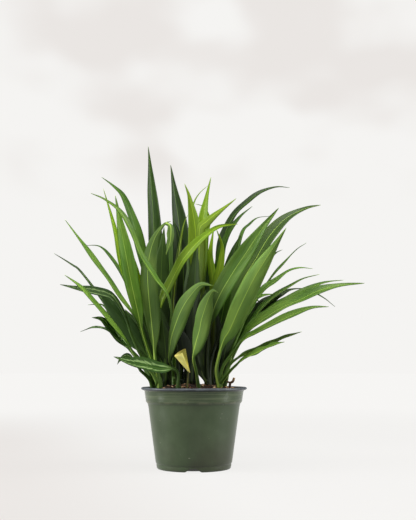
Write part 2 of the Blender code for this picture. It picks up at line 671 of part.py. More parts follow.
class Thicket:
    """Remembers every leaf placed so far, so that a new one can be bent clear of other shoots."""

    def __init__(self):
        self.trees = []

    def clashes(self, shoot, verts, triangles):
        tree = BVHTree.FromPolygons(verts, triangles)
        return sum(1 for owner, other in self.trees if owner != shoot and tree.overlap(other))

    def own_clashes(self, shoot, verts, triangles):
        tree = BVHTree.FromPolygons(verts, triangles)
        return sum(len(tree.overlap(other)) for owner, other in self.trees if owner == shoot)

    def add(self, shoot, verts, triangles):
        self.trees.append((shoot, BVHTree.FromPolygons(verts, triangles)))

    def add_solid(self, owner, bm):
        self.trees.append((owner, BVHTree.FromBMesh(bm)))
        bm.free()


def place_leaf(thicket, shoot, stem, leaf, rise, bends=BENDS, steps=MOST_STEPS):
    """Bends a leaf in depth, as little as clears the other shoots, and returns its mesh."""
    width, turn_base, turn_tip, depth, stalk, course = leaf
    leftward = course[-1][0] < stem[0]
    turn = math.radians((turn_base + turn_tip) / 2)
    twist = math.radians(turn_tip - turn_base) * (-1 if leftward else 1)
    best = None
    for bend in bends:
        if best is not None and abs(bend) > NEAR_BEND:
            break
        points = seen_course(stem, depth + bend, course, rise, hanging=not stalk)
        dense, lengths = spline(points)
        half_way = lengths[-1] * (stalk + (1 - stalk) * 0.5)
        middle = at_length(dense, lengths, half_way)
        ahead, behind = at_length(dense, lengths, half_way + 3.0), at_length(dense, lengths, half_way - 3.0)
        tangent = (ahead - behind).normalized()
        side = side_of_seen(middle, tangent, turn, leftward)
        fat = leaf_mesh(points, width, side, twist, stalk, steps, CLEARANCE)
        if thicket.clashes(shoot, *fat):
            continue
        mesh = leaf_mesh(points, width, side, twist, stalk, steps)
        own = thicket.own_clashes(shoot, *mesh)
        if best is None or own < best[0]:
            best = (own, mesh, depth + bend)
    return (None, None) if best is None else best[1:]


def dome_height(x):
    """How high the plant's dense heart reaches, at a distance to the side."""
    return DOME_TOP - DOME_FALL * abs(x - EYE.x / 2)


def skirt_height(x):
    """How low leaves may be seen from the front, at a distance to the side."""
    return SKIRT_FOOT + SKIRT_SLOPE * (abs(x - SKIRT_MIDDLE) - SKIRT_REACH)


def shows_below(verts):
    """Whether any point of a leaf would be seen under the lowest leaves of the front outline."""
    for vert in verts:
        share = -EYE.y / (vert.y - EYE.y)
        x, z = EYE.x + (vert.x - EYE.x) * share, EYE.z + (vert.z - EYE.z) * share
        if SKIRT_FOOT < z < skirt_height(x):
            return True
    return False


def inner_leaf(stem, share, row, rng, rise):
    """An upright leaf in the heart of the plant, its face towards the front."""
    colour, place, count, left, right = row
    x = left + (right - left) * share
    top = dome_height(x) * rng.uniform(0.62, 1.0)
    depth = rng.uniform(*INNER_DEPTH)
    bow = rng.uniform(0.25, 0.45)
    run, climb = x - stem[0], top - rise
    course = [(stem[0] + run * part * bow / 0.5, rise + climb * part) for part in (0.25, 0.5)]
    course += [(stem[0] + run * 0.72, rise + climb * 0.8), (x, top)]
    turn = rng.uniform(-35.0, 35.0)
    width, turn_tip, stalk = rng.uniform(*INNER_WIDTH), turn + rng.uniform(-15, 15), rng.uniform(0.2, 0.3)
    return width, turn, turn_tip, depth, stalk, course


def rear_leaf(stem, share, row, rng, rise):
    """A leaf of the rear shoots: it rises from the stem, arches backward and droops at the tip."""
    colour, place, count, left, right = row
    x = left + (right - left) * share
    depth = rng.uniform(*REAR_DEPTH)
    lowest = max(LOWEST_TIP, skirt_height(x * 0.9) + 24.0)
    top = lowest + (dome_height(x) - lowest) * rng.uniform(0.35, 1.0)
    tip = Vector((x, depth, max(top - rng.uniform(0.0, 25.0), lowest - 12.0)))
    root = root_place(stem, x, depth, rise)
    run = Vector((tip.x - root.x, tip.y - root.y, 0.0))
    climb = Vector((0.0, 0.0, top - rise))
    points = [root, root + run * 0.08 + climb * 0.30, root + run * 0.34 + climb * 0.74,
              root + run * 0.70 + climb * 1.0, tip]
    across = Vector((-run.y, run.x, 0.0)).normalized()
    lean = rng.uniform(-0.5, 0.5)
    side = (across * math.cos(lean) + Vector((0, 0, 1)) * math.sin(lean)).normalized()
    return points, rng.uniform(*REAR_WIDTH), side, rng.uniform(-0.5, 0.5), rng.uniform(0.22, 0.34)


def root_height(index):
    return ROOT_HEIGHT + ROOT_STEP * (index % 5)


def stem_top(name):
    """A stem ends just over its highest root."""
    leaves = ALL_SHOOTS[name][2]
    count = leaves if isinstance(leaves, int) else len(leaves)
    return root_height(min(count, 5) - 1) + 2 * ROOT_STEP


def join_shoot(name, stem, colour, leaves):
    """Fuses the leaves of one shoot with its stem into one body."""
    post = prism(STEM_RADIUS, STEM_FOOT, stem_top(name), STEM_SIDES, stem, STEM_NECK)
    shoot = new_object(name, post, colour)
    tools = []
    for index, (verts, triangles) in enumerate(leaves):
        bm = bmesh.new()
        points = [bm.verts.new(vert) for vert in verts]
        for triangle in triangles:
            bm.faces.new([points[corner] for corner in triangle])
        tools.append(new_object(f"{name}_leaf_{index}", bm))
    apply_boolean(shoot, tools, "UNION", "MANIFOLD")
    clean(shoot)
    shade_round(shoot, 60.0)


def make_shoots():
    """Places every leaf in turn, then fuses each shoot."""
    thicket = Thicket()
    stems = {name: row[1] for name, row in ALL_SHOOTS.items()}
    for name, place in stems.items():
        radius, neck = STEM_RADIUS + CLEARANCE, STEM_NECK + CLEARANCE
        thicket.add_solid(name, prism(radius, STEM_FOOT, stem_top(name) + CLEARANCE, STEM_SIDES, place, neck))
    inner, outer, low, high = COLLAR_FOOT_RADIUS - WALL, RIM_RADIUS, LEDGE_HEIGHT, RIM_TOP + CLEARANCE
    rim = turned([(inner, low), (outer, low), (outer, high), (inner, high)], POT_SIDES)
    thicket.add_solid("pot", rim)
    placed = {name: [] for name in stems}
    for name, (colour, place, leaves) in SHOOTS.items():
        for index, leaf in enumerate(leaves):
            rise = root_height(index)
            if leaf[4] == 0.0:
                leaf = (*leaf[:3], depth, *leaf[4:])
            mesh, depth = place_leaf(thicket, name, place, leaf, rise, BENDS if leaf[4] else [0])
            if mesh is None:
                print("no room for", name, index)
                continue
            placed[name].append(mesh)
            thicket.add(name, *mesh)
    rng = random.Random(SEED)
    for name, row in INNER_SHOOTS.items():
        for index in range(row[2]):
            rise = root_height(index)
            for attempt in range(40):
                share = (index + rng.uniform(0.1, 0.9)) / row[2]
                leaf = inner_leaf(row[1], share, row, rng, rise)
                mesh, depth = place_leaf(thicket, name, row[1], leaf, rise, BENDS[:9], INNER_STEPS)
                if mesh is not None and not shows_below(mesh[0]):
                    placed[name].append(mesh)
                    thicket.add(name, *mesh)
                    break
            else:
                print("no room for", name, index)
    for name, row in REAR_SHOOTS.items():
        for index in range(row[2]):
            rise = root_height(index)
            for attempt in range(80):
                share = (index + rng.uniform(0.1, 0.9)) / row[2]
                shape = rear_leaf(row[1], share, row, rng, rise)
                mesh = leaf_mesh(*shape)
                fat = leaf_mesh(*shape, MOST_STEPS, CLEARANCE)
                if not shows_below(mesh[0]) and not thicket.clashes(name, *fat):
                    placed[name].append(mesh)
                    thicket.add(name, *mesh)
                    break
            else:
                print("no room for", name, index)
    colours = {name: row[0] for name, row in ALL_SHOOTS.items()}
    for name, leaves in placed.items():
        join_shoot(name, stems[name], colours[name], leaves)
    return stems


def withered_leaf():
    """A small yellow leaf curled round its length like a funnel, on a thin dry stalk."""
    depth = WITHERED_STEM[1]
    neck = along_sight(*WITHERED_NECK, depth)
    mouth = along_sight(*WITHERED_MOUTH, depth)
    along = (mouth - neck).normalized()
    across = along.cross(Vector((0.0, 1.0, 0.0))).normalized()
    away = across.cross(along).normalized()
    rows, columns = 5, 7
    bm = bmesh.new()
    shell = {}
    for row in range(rows + 1):
        share = row / rows
        radius = 0.9 + (WITHERED_WIDTH / 2 - 0.9) * share ** 1.1
        for column in range(columns):
            part = column / (columns - 1) - 0.5
            angle = math.radians(WITHERED_TURN + WITHERED_CURL * part * 2)
            slant = radius * share * (0.22 * math.cos(angle) - 0.12 * math.sin(angle))
            for layer, inset in enumerate((0.0, BLADE_THICKNESS)):
                reach = max(0.05, radius - inset)
                spot = neck + along * ((mouth - neck).length * share + slant)
                spot += across * reach * math.sin(angle) * 0.98 + away * reach * math.cos(angle) * 0.55
                shell[row, column, layer] = bm.verts.new(spot)
    for row in range(rows):
        for column in range(columns - 1):
            for layer in (0, 1):
                bm.faces.new([shell[row, column, layer], shell[row, column + 1, layer],
                              shell[row + 1, column + 1, layer], shell[row + 1, column, layer]])
        for column in (0, columns - 1):
            bm.faces.new([shell[row, column, 0], shell[row + 1, column, 0],
                          shell[row + 1, column, 1], shell[row, column, 1]])
    for row in (0, rows):
        for column in range(columns - 1):
            bm.faces.new([shell[row, column, 0], shell[row, column + 1, 0],
                          shell[row, column + 1, 1], shell[row, column, 1]])
    bmesh.ops.triangulate(bm, faces=bm.faces)
    bmesh.ops.recalc_face_normals(bm, faces=bm.faces)
    funnel = new_object("withered_funnel", bm)
    foot = Vector((*WITHERED_STEM, STEM_FOOT))
    course = [foot, foot + Vector((0.0, 0.0, STUB_HEIGHT)), neck + along * 3.0]
    stalk = new_object("withered_leaf", tube(course, WITHERED_STALK, 6), "leaf_withered")
    apply_boolean(stalk, [funnel], "UNION", "MANIFOLD")
    clean(stalk)
    shade_round(stalk, 60.0)


def tube(points, radius, sides):
    """A few-sided tube through the points, closed at both ends, its rings level with the first run."""
    bm = bmesh.new()
    rings = []
    for index, point in enumerate(points):
        before, after = points[max(index - 1, 0)], points[min(index + 1, len(points) - 1)]
        turn = Vector((0, 0, 1)).rotation_difference((after - before).normalized())
        size = radius * (1 - 0.25 * index / (len(points) - 1))
        ring = []
        for side in range(sides):
            angle = math.tau * side / sides
            spoke = Vector((size * math.cos(angle), size * math.sin(angle), 0.0))
            ring.append(bm.verts.new(point + turn @ spoke))
        rings.append(ring)
    for low, high in zip(rings, rings[1:]):
        for side in range(sides):
            following = (side + 1) % sides
            bm.faces.new([low[side], low[following], high[following], high[side]])
    bm.faces.new(rings[0])
    bm.faces.new(rings[-1])
    bmesh.ops.triangulate(bm, faces=bm.faces)
    bmesh.ops.recalc_face_normals(bm, faces=bm.faces)
    return bm


def dry_stub():
    """The torn stub of an old stem, bent over, with the scar of a side shoot."""
    foot = Vector((*STUB_PLACE, STEM_FOOT))
    bend = foot + Vector((0.0, 0.0, STUB_HEIGHT))
    tip = bend + Vector((6.5, -1.0, 10.5))
    course = [foot, bend, bend + Vector((4.5, 0.0, 5.0)), tip]
    stub = new_object("dry_stub", tube(course, STUB_RADIUS, 6), "dry_stem")
    side = [bend + Vector((1.0, 0.0, 3.0)), bend + Vector((-5.0, -1.5, 5.0))]
    scar = new_object("dry_stub_scar", tube(side, SCAR_RADIUS, 5))
    apply_boolean(stub, [scar], "UNION", "MANIFOLD")
    clean(stub)
    shade_round(stub, 60.0)


def main():
    clear_scene()
    stems = make_shoots()
    withered_leaf()
    dry_stub()
    holes = [(x, y, STEM_RADIUS) for x, y in stems.values()]
    holes += [(*WITHERED_STEM, WITHERED_STALK), (*STUB_PLACE, STUB_RADIUS)]
    make_soil(holes)
    make_pot()


main()
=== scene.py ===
# %% [markdown]
# # A potted Chinese evergreen
# The plant is a thicket of narrow leaves on long stalks, standing in dark soil in a moulded green nursery
# pot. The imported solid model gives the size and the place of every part, so it is loaded first. The finer
# pieces made below each stand for one of its solids and keep to its form.

# %% Load the solid model
import math
import random

import bmesh
import bpy
from mathutils import Matrix, Vector, noise
from mathutils.kdtree import KDTree


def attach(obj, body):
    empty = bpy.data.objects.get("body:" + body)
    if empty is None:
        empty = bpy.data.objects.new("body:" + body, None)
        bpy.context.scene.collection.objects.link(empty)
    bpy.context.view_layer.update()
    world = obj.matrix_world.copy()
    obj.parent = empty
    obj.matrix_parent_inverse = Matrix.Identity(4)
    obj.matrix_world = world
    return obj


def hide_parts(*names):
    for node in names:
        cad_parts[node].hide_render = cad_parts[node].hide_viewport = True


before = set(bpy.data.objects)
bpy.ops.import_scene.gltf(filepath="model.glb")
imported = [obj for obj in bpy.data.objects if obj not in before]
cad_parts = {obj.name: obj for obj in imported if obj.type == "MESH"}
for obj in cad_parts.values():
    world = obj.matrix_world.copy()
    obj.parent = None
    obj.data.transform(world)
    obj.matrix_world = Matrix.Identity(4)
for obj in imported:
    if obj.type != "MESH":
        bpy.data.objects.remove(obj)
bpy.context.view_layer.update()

# %% [markdown]
# ## Millimetres and finished pieces
# Small plants are easiest to think of in millimetres, while the frame is in metres. Each mesh is therefore
# built in millimetres, and this helper shrinks it, makes it an object, hangs it on the plant and hides the
# solid that it stands for.
# The object stays at the origin, so patterns that read Object coordinates sit still on it.

# %% Helper: from a mesh in millimetres to a piece of the plant
MM = 0.001


def placed(name, data):
    """Puts a mesh, lamp or camera into the scene as an object."""
    made = bpy.data.objects.new(name, data)
    bpy.context.scene.collection.objects.link(made)
    return made


def loose_object(name, bm):
    """Puts a mesh that is still being edited into the scene as an object of its own."""
    mesh = bpy.data.meshes.new(name)
    bm.to_mesh(mesh)
    bm.free()
    return placed(name, mesh)


def finished_piece(name, bm, materials, solid):
    """Makes a smooth-shaded object that rides on the plant and stands for one of its solids."""
    bmesh.ops.scale(bm, vec=(MM, MM, MM), verts=bm.verts)
    piece = loose_object(name, bm)
    piece.data.shade_smooth()
    for material in materials:
        piece.data.materials.append(material)
    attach(piece, "root")
    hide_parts(solid)
    return piece


# %% [markdown]
# ## Camera
# The photograph was taken from a little above the pot's rim, about 1.3 m in front of the plant, looking
# slightly upward so that the whole plant fits. A lens of nearly 60 mm keeps the pot's sides from leaning.
# SIGHT is the first estimate of the eye, along whose lines the solid model's leaves were laid, so it stays
# as it was there.

# %% Camera
EYE = Vector((21.6, -1330.0, 160.0))
SIGHT = Vector((21.0, -1330.0, 160.0))
CAMERA_TILT = 6.92
LENS_LENGTH = 58.74
SENSOR_WIDTH = 36.0

lens = bpy.data.cameras.new("plant_camera")
lens.lens = LENS_LENGTH
lens.sensor_width = SENSOR_WIDTH
camera = placed("plant_camera", lens)
camera.location = EYE * MM
camera.rotation_euler = (math.radians(90 + CAMERA_TILT), 0.0, 0.0)
bpy.context.scene.camera = camera
bpy.context.scene.view_settings.view_transform = "Standard"
print("camera at", tuple(round(value, 3) for value in camera.location))

# %% [markdown]
# ## Colours and node helpers
# Colours are easiest to judge as they look on a screen, from 0 to 255, but shaders work with amounts of
# light. `paint` turns one into the other. Most of the other helpers add one node to a finish and hand back
# its output, so that a finish can be written almost like a sum. `step_of` finds the finish by looking at
# which material a socket belongs to, so no helper has to be told.

# %% Helpers for colours and nodes
BLACK = (0.0, 0.0, 0.0, 1.0)


def paint(red, green, blue):
    """A screen colour as the linear light values that shaders use."""
    return tuple(((part / 255 + 0.055) / 1.055) ** 2.4 for part in (red, green, blue)) + (1.0,)


def dimmed(colour, amount):
    """A colour with a share of its light, or with more than its light."""
    return tuple(min(1.0, part * amount) for part in colour[:3]) + (1.0,)


def feed(socket, value):
    """Sets a socket to a number, or links another node's output to it."""
    if isinstance(value, bpy.types.NodeSocket):
        socket.id_data.links.new(value, socket)
    else:
        socket.default_value = value


def new_finish(name, roughness, specular):
    """A material, its Principled shader and the place on the object that its patterns read."""
    material = bpy.data.materials.new(name)
    material.use_nodes = True
    nodes = material.node_tree.nodes
    shader = nodes["Principled BSDF"]
    shader.inputs["Roughness"].default_value = roughness
    shader.inputs["Specular IOR Level"].default_value = specular
    return material, shader, nodes.new("ShaderNodeTexCoord").outputs["Object"]


def step_of(kind, *values, **settings):
    """Adds a node to the tree of the first socket among the values, and feeds its inputs in order."""
    home = next(value.id_data for value in values if isinstance(value, bpy.types.NodeSocket))
    node = home.nodes.new(kind)
    for name, setting in settings.items():
        setattr(node, name, setting)
    for socket, value in zip(node.inputs, values):
        feed(socket, value)
    return node


def calc(operation, *values):
    """One step of arithmetic on sockets and numbers."""
    return step_of("ShaderNodeMath", *values, operation=operation).outputs[0]


def times(first, second):
    return calc("MULTIPLY", first, second)


def fade(value, start, end):
    """0 before start, 1 after end, and an even curve between; start may lie after end."""
    ends = (0.0, 1.0) if start < end else (1.0, 0.0)
    return step_of("ShaderNodeMapRange", value, min(start, end), max(start, end), *ends,
                   interpolation_type="SMOOTHSTEP").outputs["Result"]


def place_of(x, y, z):
    """Three values as one place for a pattern to read."""
    return step_of("ShaderNodeCombineXYZ", x, y, z).outputs[0]


def split(vector):
    return step_of("ShaderNodeSeparateXYZ", vector).outputs


def blended(factor, first, second, kind="MIX"):
    """Mixes two colours by a factor, or multiplies the first by the second."""
    sockets = [value for value in (factor, first, second) if isinstance(value, bpy.types.NodeSocket)]
    node = sockets[0].id_data.nodes.new("ShaderNodeMix")
    node.data_type = "RGBA"
    node.blend_type = kind
    for index, value in ((0, factor), (6, first), (7, second)):
        feed(node.inputs[index], value)
    return node.outputs[2]


def tinted(colour, other, mask, strength):
    """Moves a colour towards another one where a mask is bright."""
    return blended(times(mask, strength), colour, other)


def shaded(colour, tone):
    """Multiplies a colour by a grey tone."""
    return blended(1.0, colour, place_of(tone, tone, tone), "MULTIPLY")


def mottle(vector, scale, detail=2.0, roughness=0.5):
    """A soft random pattern from 0 to 1."""
    return step_of("ShaderNodeTexNoise", vector, 0.0, scale, detail, roughness).outputs["Fac"]


def stretched(vector, factors, detail=2.0, roughness=0.5, shift=(0.0, 0.0, 0.0)):
    """A mottle whose place is multiplied by three factors and shifted first."""
    place = step_of("ShaderNodeVectorMath", vector, factors, shift, operation="MULTIPLY_ADD")
    return mottle(place.outputs[0], 1.0, detail, roughness)


def dress(shader, colour, height, distance, strength=1.0):
    """Gives a finish its colour and its bumps: a height, as a share of a distance in metres."""
    feed(shader.inputs["Base Color"], colour)
    node = height.id_data.nodes.new("ShaderNodeBump")
    for name, value in (("Distance", distance), ("Strength", strength), ("Height", height)):
        feed(node.inputs[name], value)
    feed(shader.inputs["Normal"], node.outputs["Normal"])


# %% [markdown]
# ## Leaf finish
# A real leaf is a smooth, slightly waxy blade. A pale midrib runs along it, and fine side veins leave the
# midrib at a narrow angle and run almost along the blade. Every leaf carries two attributes: where a point
# lies across and along the leaf in millimetres, and as shares of its width and length. The veins are drawn
# from these, so they follow each leaf however it bends. A random number for each leaf keeps them from
# looking alike.

# %% Helper: the finish of one kind of leaf
ACROSS_ATTRIBUTE = "leaf_place"
SHARE_ATTRIBUTE = "leaf_share"
LEAF_GLOSS = 0.23
LEAF_SHIFT = 91.7
VEIN_SLANT = -2.3
LONG_SLANT = -0.05
SILVER_MIDDLE = 0.44
PATCH_TINT = 0.45
EDGE_TINT = 0.45
FOOT_TINT = 0.75
# Painted shade in the middle of the plant: leaves and stalks near the axis and low down are darkened by a
# share.
HEART_SHADE_DEPTH = 0.90
HEART_SHADE_RADIUS = (0.075, 0.035)
HEART_SHADE_HEIGHT = (0.385, 0.200)
LEAF_BUMP = 0.0003
LEAF_BUMP_STRENGTH = 0.6
RIDGE_PITCH = 2.6
RIDGE_HEIGHT = 0.06
RIB_WIDTH = (0.75, 0.25)
RIB_FADING = (-0.45, 0.95)
TONE_RANGE = (0.38, 0.65)


def attribute(place, name):
    """The three numbers of an attribute, added beside a socket of the same finish."""
    node = place.id_data.nodes.new("ShaderNodeAttribute")
    node.attribute_name = name
    return node.outputs["Vector"]


def leaf_finish(name, face, rib, stalk, silver, roughness, veins):
    """A leaf face: its colour, midrib, stalk, painted shade low in the middle of the plant and, on the
    patterned kind, silver feathering.
    """
    material, shader, place = new_finish(name, roughness, LEAF_GLOSS)
    across, along, chance = split(attribute(place, ACROSS_ATTRIBUTE))
    side, share, half = split(attribute(place, SHARE_ATTRIBUTE))
    away = calc("ABSOLUTE", across)
    vein_line = calc("MULTIPLY_ADD", away, VEIN_SLANT, along)
    long_line = calc("MULTIPLY_ADD", along, LONG_SLANT, away)

    lengthwise = place_of(long_line, along, chance)
    streaks = stretched(lengthwise, (0.9, 0.02, LEAF_SHIFT), 2.0, 0.6)
    swells = stretched(lengthwise, (0.45, 0.03, LEAF_SHIFT), 1.0)
    patches = stretched(place_of(along, across, chance), (0.022, 0.07, LEAF_SHIFT))
    streaked = blended(fade(streaks, 0.3, 0.7), dimmed(face, 1 - veins), dimmed(face, 1 + veins))
    colour = blended(fade(half, 1.5, 6.0), face, streaked)
    if silver:
        off_zone = calc("ABSOLUTE", calc("SUBTRACT", side, SILVER_MIDDLE))
        zone = calc("SUBTRACT", 1.0, times(2.4, off_zone))
        feathers = stretched(place_of(vein_line, away, chance), (0.22, 0.08, LEAF_SHIFT), 3.0, 0.7)
        bright = fade(calc("ADD", times(zone, 0.45), feathers), 0.78, 0.90)
        colour = blended(bright, colour, silver)
    colour = tinted(colour, blended(0.5, colour, rib), fade(patches, 0.35, 0.75), PATCH_TINT)
    colour = shaded(colour, calc("MULTIPLY_ADD", chance, *TONE_RANGE))

    edge = fade(calc("SUBTRACT", half, away), 1.1, 0.2)
    colour = tinted(colour, dimmed(face, 0.45), edge, EDGE_TINT)
    colour = tinted(colour, stalk, fade(share, 0.18, -0.05), FOOT_TINT)
    rib_width = calc("MULTIPLY_ADD", calc("SUBTRACT", 1.0, share), *RIB_WIDTH)
    rib_line = fade(calc("DIVIDE", away, rib_width), 1.0, 0.45)
    colour = tinted(colour, rib, rib_line, calc("MULTIPLY_ADD", share, *RIB_FADING))
    # Painted shade: the colour is darkened near the plant's axis and low down, where shade falls between the
    # stalks.
    x, y, z = split(place)
    from_axis = calc("SQRT", calc("ADD", times(x, x), times(y, y)))
    heart = times(fade(from_axis, *HEART_SHADE_RADIUS), fade(z, *HEART_SHADE_HEIGHT))
    colour = shaded(colour, calc("SUBTRACT", 1.0, times(heart, HEART_SHADE_DEPTH)))

    feed(shader.inputs["Roughness"], calc("MULTIPLY_ADD", streaks, 0.16, roughness - 0.08))
    ridges = times(calc("SINE", times(long_line, RIDGE_PITCH)), RIDGE_HEIGHT)
    height = times(calc("ADD", ridges, swells), fade(half, 1.0, 9.0))
    dress(shader, colour, height, LEAF_BUMP, LEAF_BUMP_STRENGTH)
    return material


# %% [markdown]
# The plant has four kinds of leaf: full-grown green ones, dark ones deep in the plant, pale yellow-green
# young ones and a few with silver feathering. The darker green of the dark kind is painted shade, for the
# shade that falls deep in the plant. The underside of each is duller and paler than its face, so every kind
# gets a pair of finishes. Each row gives the colours of face, midrib, stalk and feathers.

# %% Leaf finishes
FACE_ROUGHNESS = 0.42
FACE_VEINS = 0.18
UNDERSIDE_ROUGHNESS = 0.6
UNDERSIDE_VEINS = 0.1
LEAF_COLOURS = {
    "leaf_green": ((88, 129, 40), (176, 208, 88), (74, 106, 30), None),
    # The dark kind's darker green is painted shade.
    "leaf_dark": ((50, 82, 19), (112, 150, 54), (52, 80, 24), None),
    "leaf_young": ((122, 164, 4), (182, 212, 52), (104, 140, 16), None),
    "leaf_patterned": ((46, 76, 26), (78, 112, 42), (74, 104, 36), (140, 168, 104)),
}

leaf_finishes = {}
for kind, (face, *others, feathers) in LEAF_COLOURS.items():
    rib, stalk = (paint(*colour) for colour in others)
    silver = feathers and paint(*feathers)
    pale = paint(*(part * 0.85 + 22 for part in face))
    leaf_finishes[kind] = (
        leaf_finish(kind, paint(*face), rib, stalk, silver, FACE_ROUGHNESS, FACE_VEINS),
        leaf_finish(kind + "_underside", pale, rib, stalk, None, UNDERSIDE_ROUGHNESS, UNDERSIDE_VEINS))
print("leaf finishes", len(leaf_finishes) * 2)

# %% [markdown]
# ## The plan of the leaves
# The solid model was laid out leaf by leaf, and the same plan is written here. Each leaf gives the width of
# its blade, how far the blade is turned at its base and at its tip (0 shows its face to the front, 90 its
# edge), the depth of its tip, the share of its length that is stalk, and its course as x and z in the pot's
# middle plane. A leaf with no stalk hangs on from the tip of the leaf before it.

# %% Plan of the leaves that the photograph shows
GREEN = "leaf_green"
# The dark kind's darker green is painted shade, for leaves deep in the plant.
PAINTED_SHADE_DARK = "leaf_dark"
YOUNG = "leaf_young"
PATTERNED = "leaf_patterned"

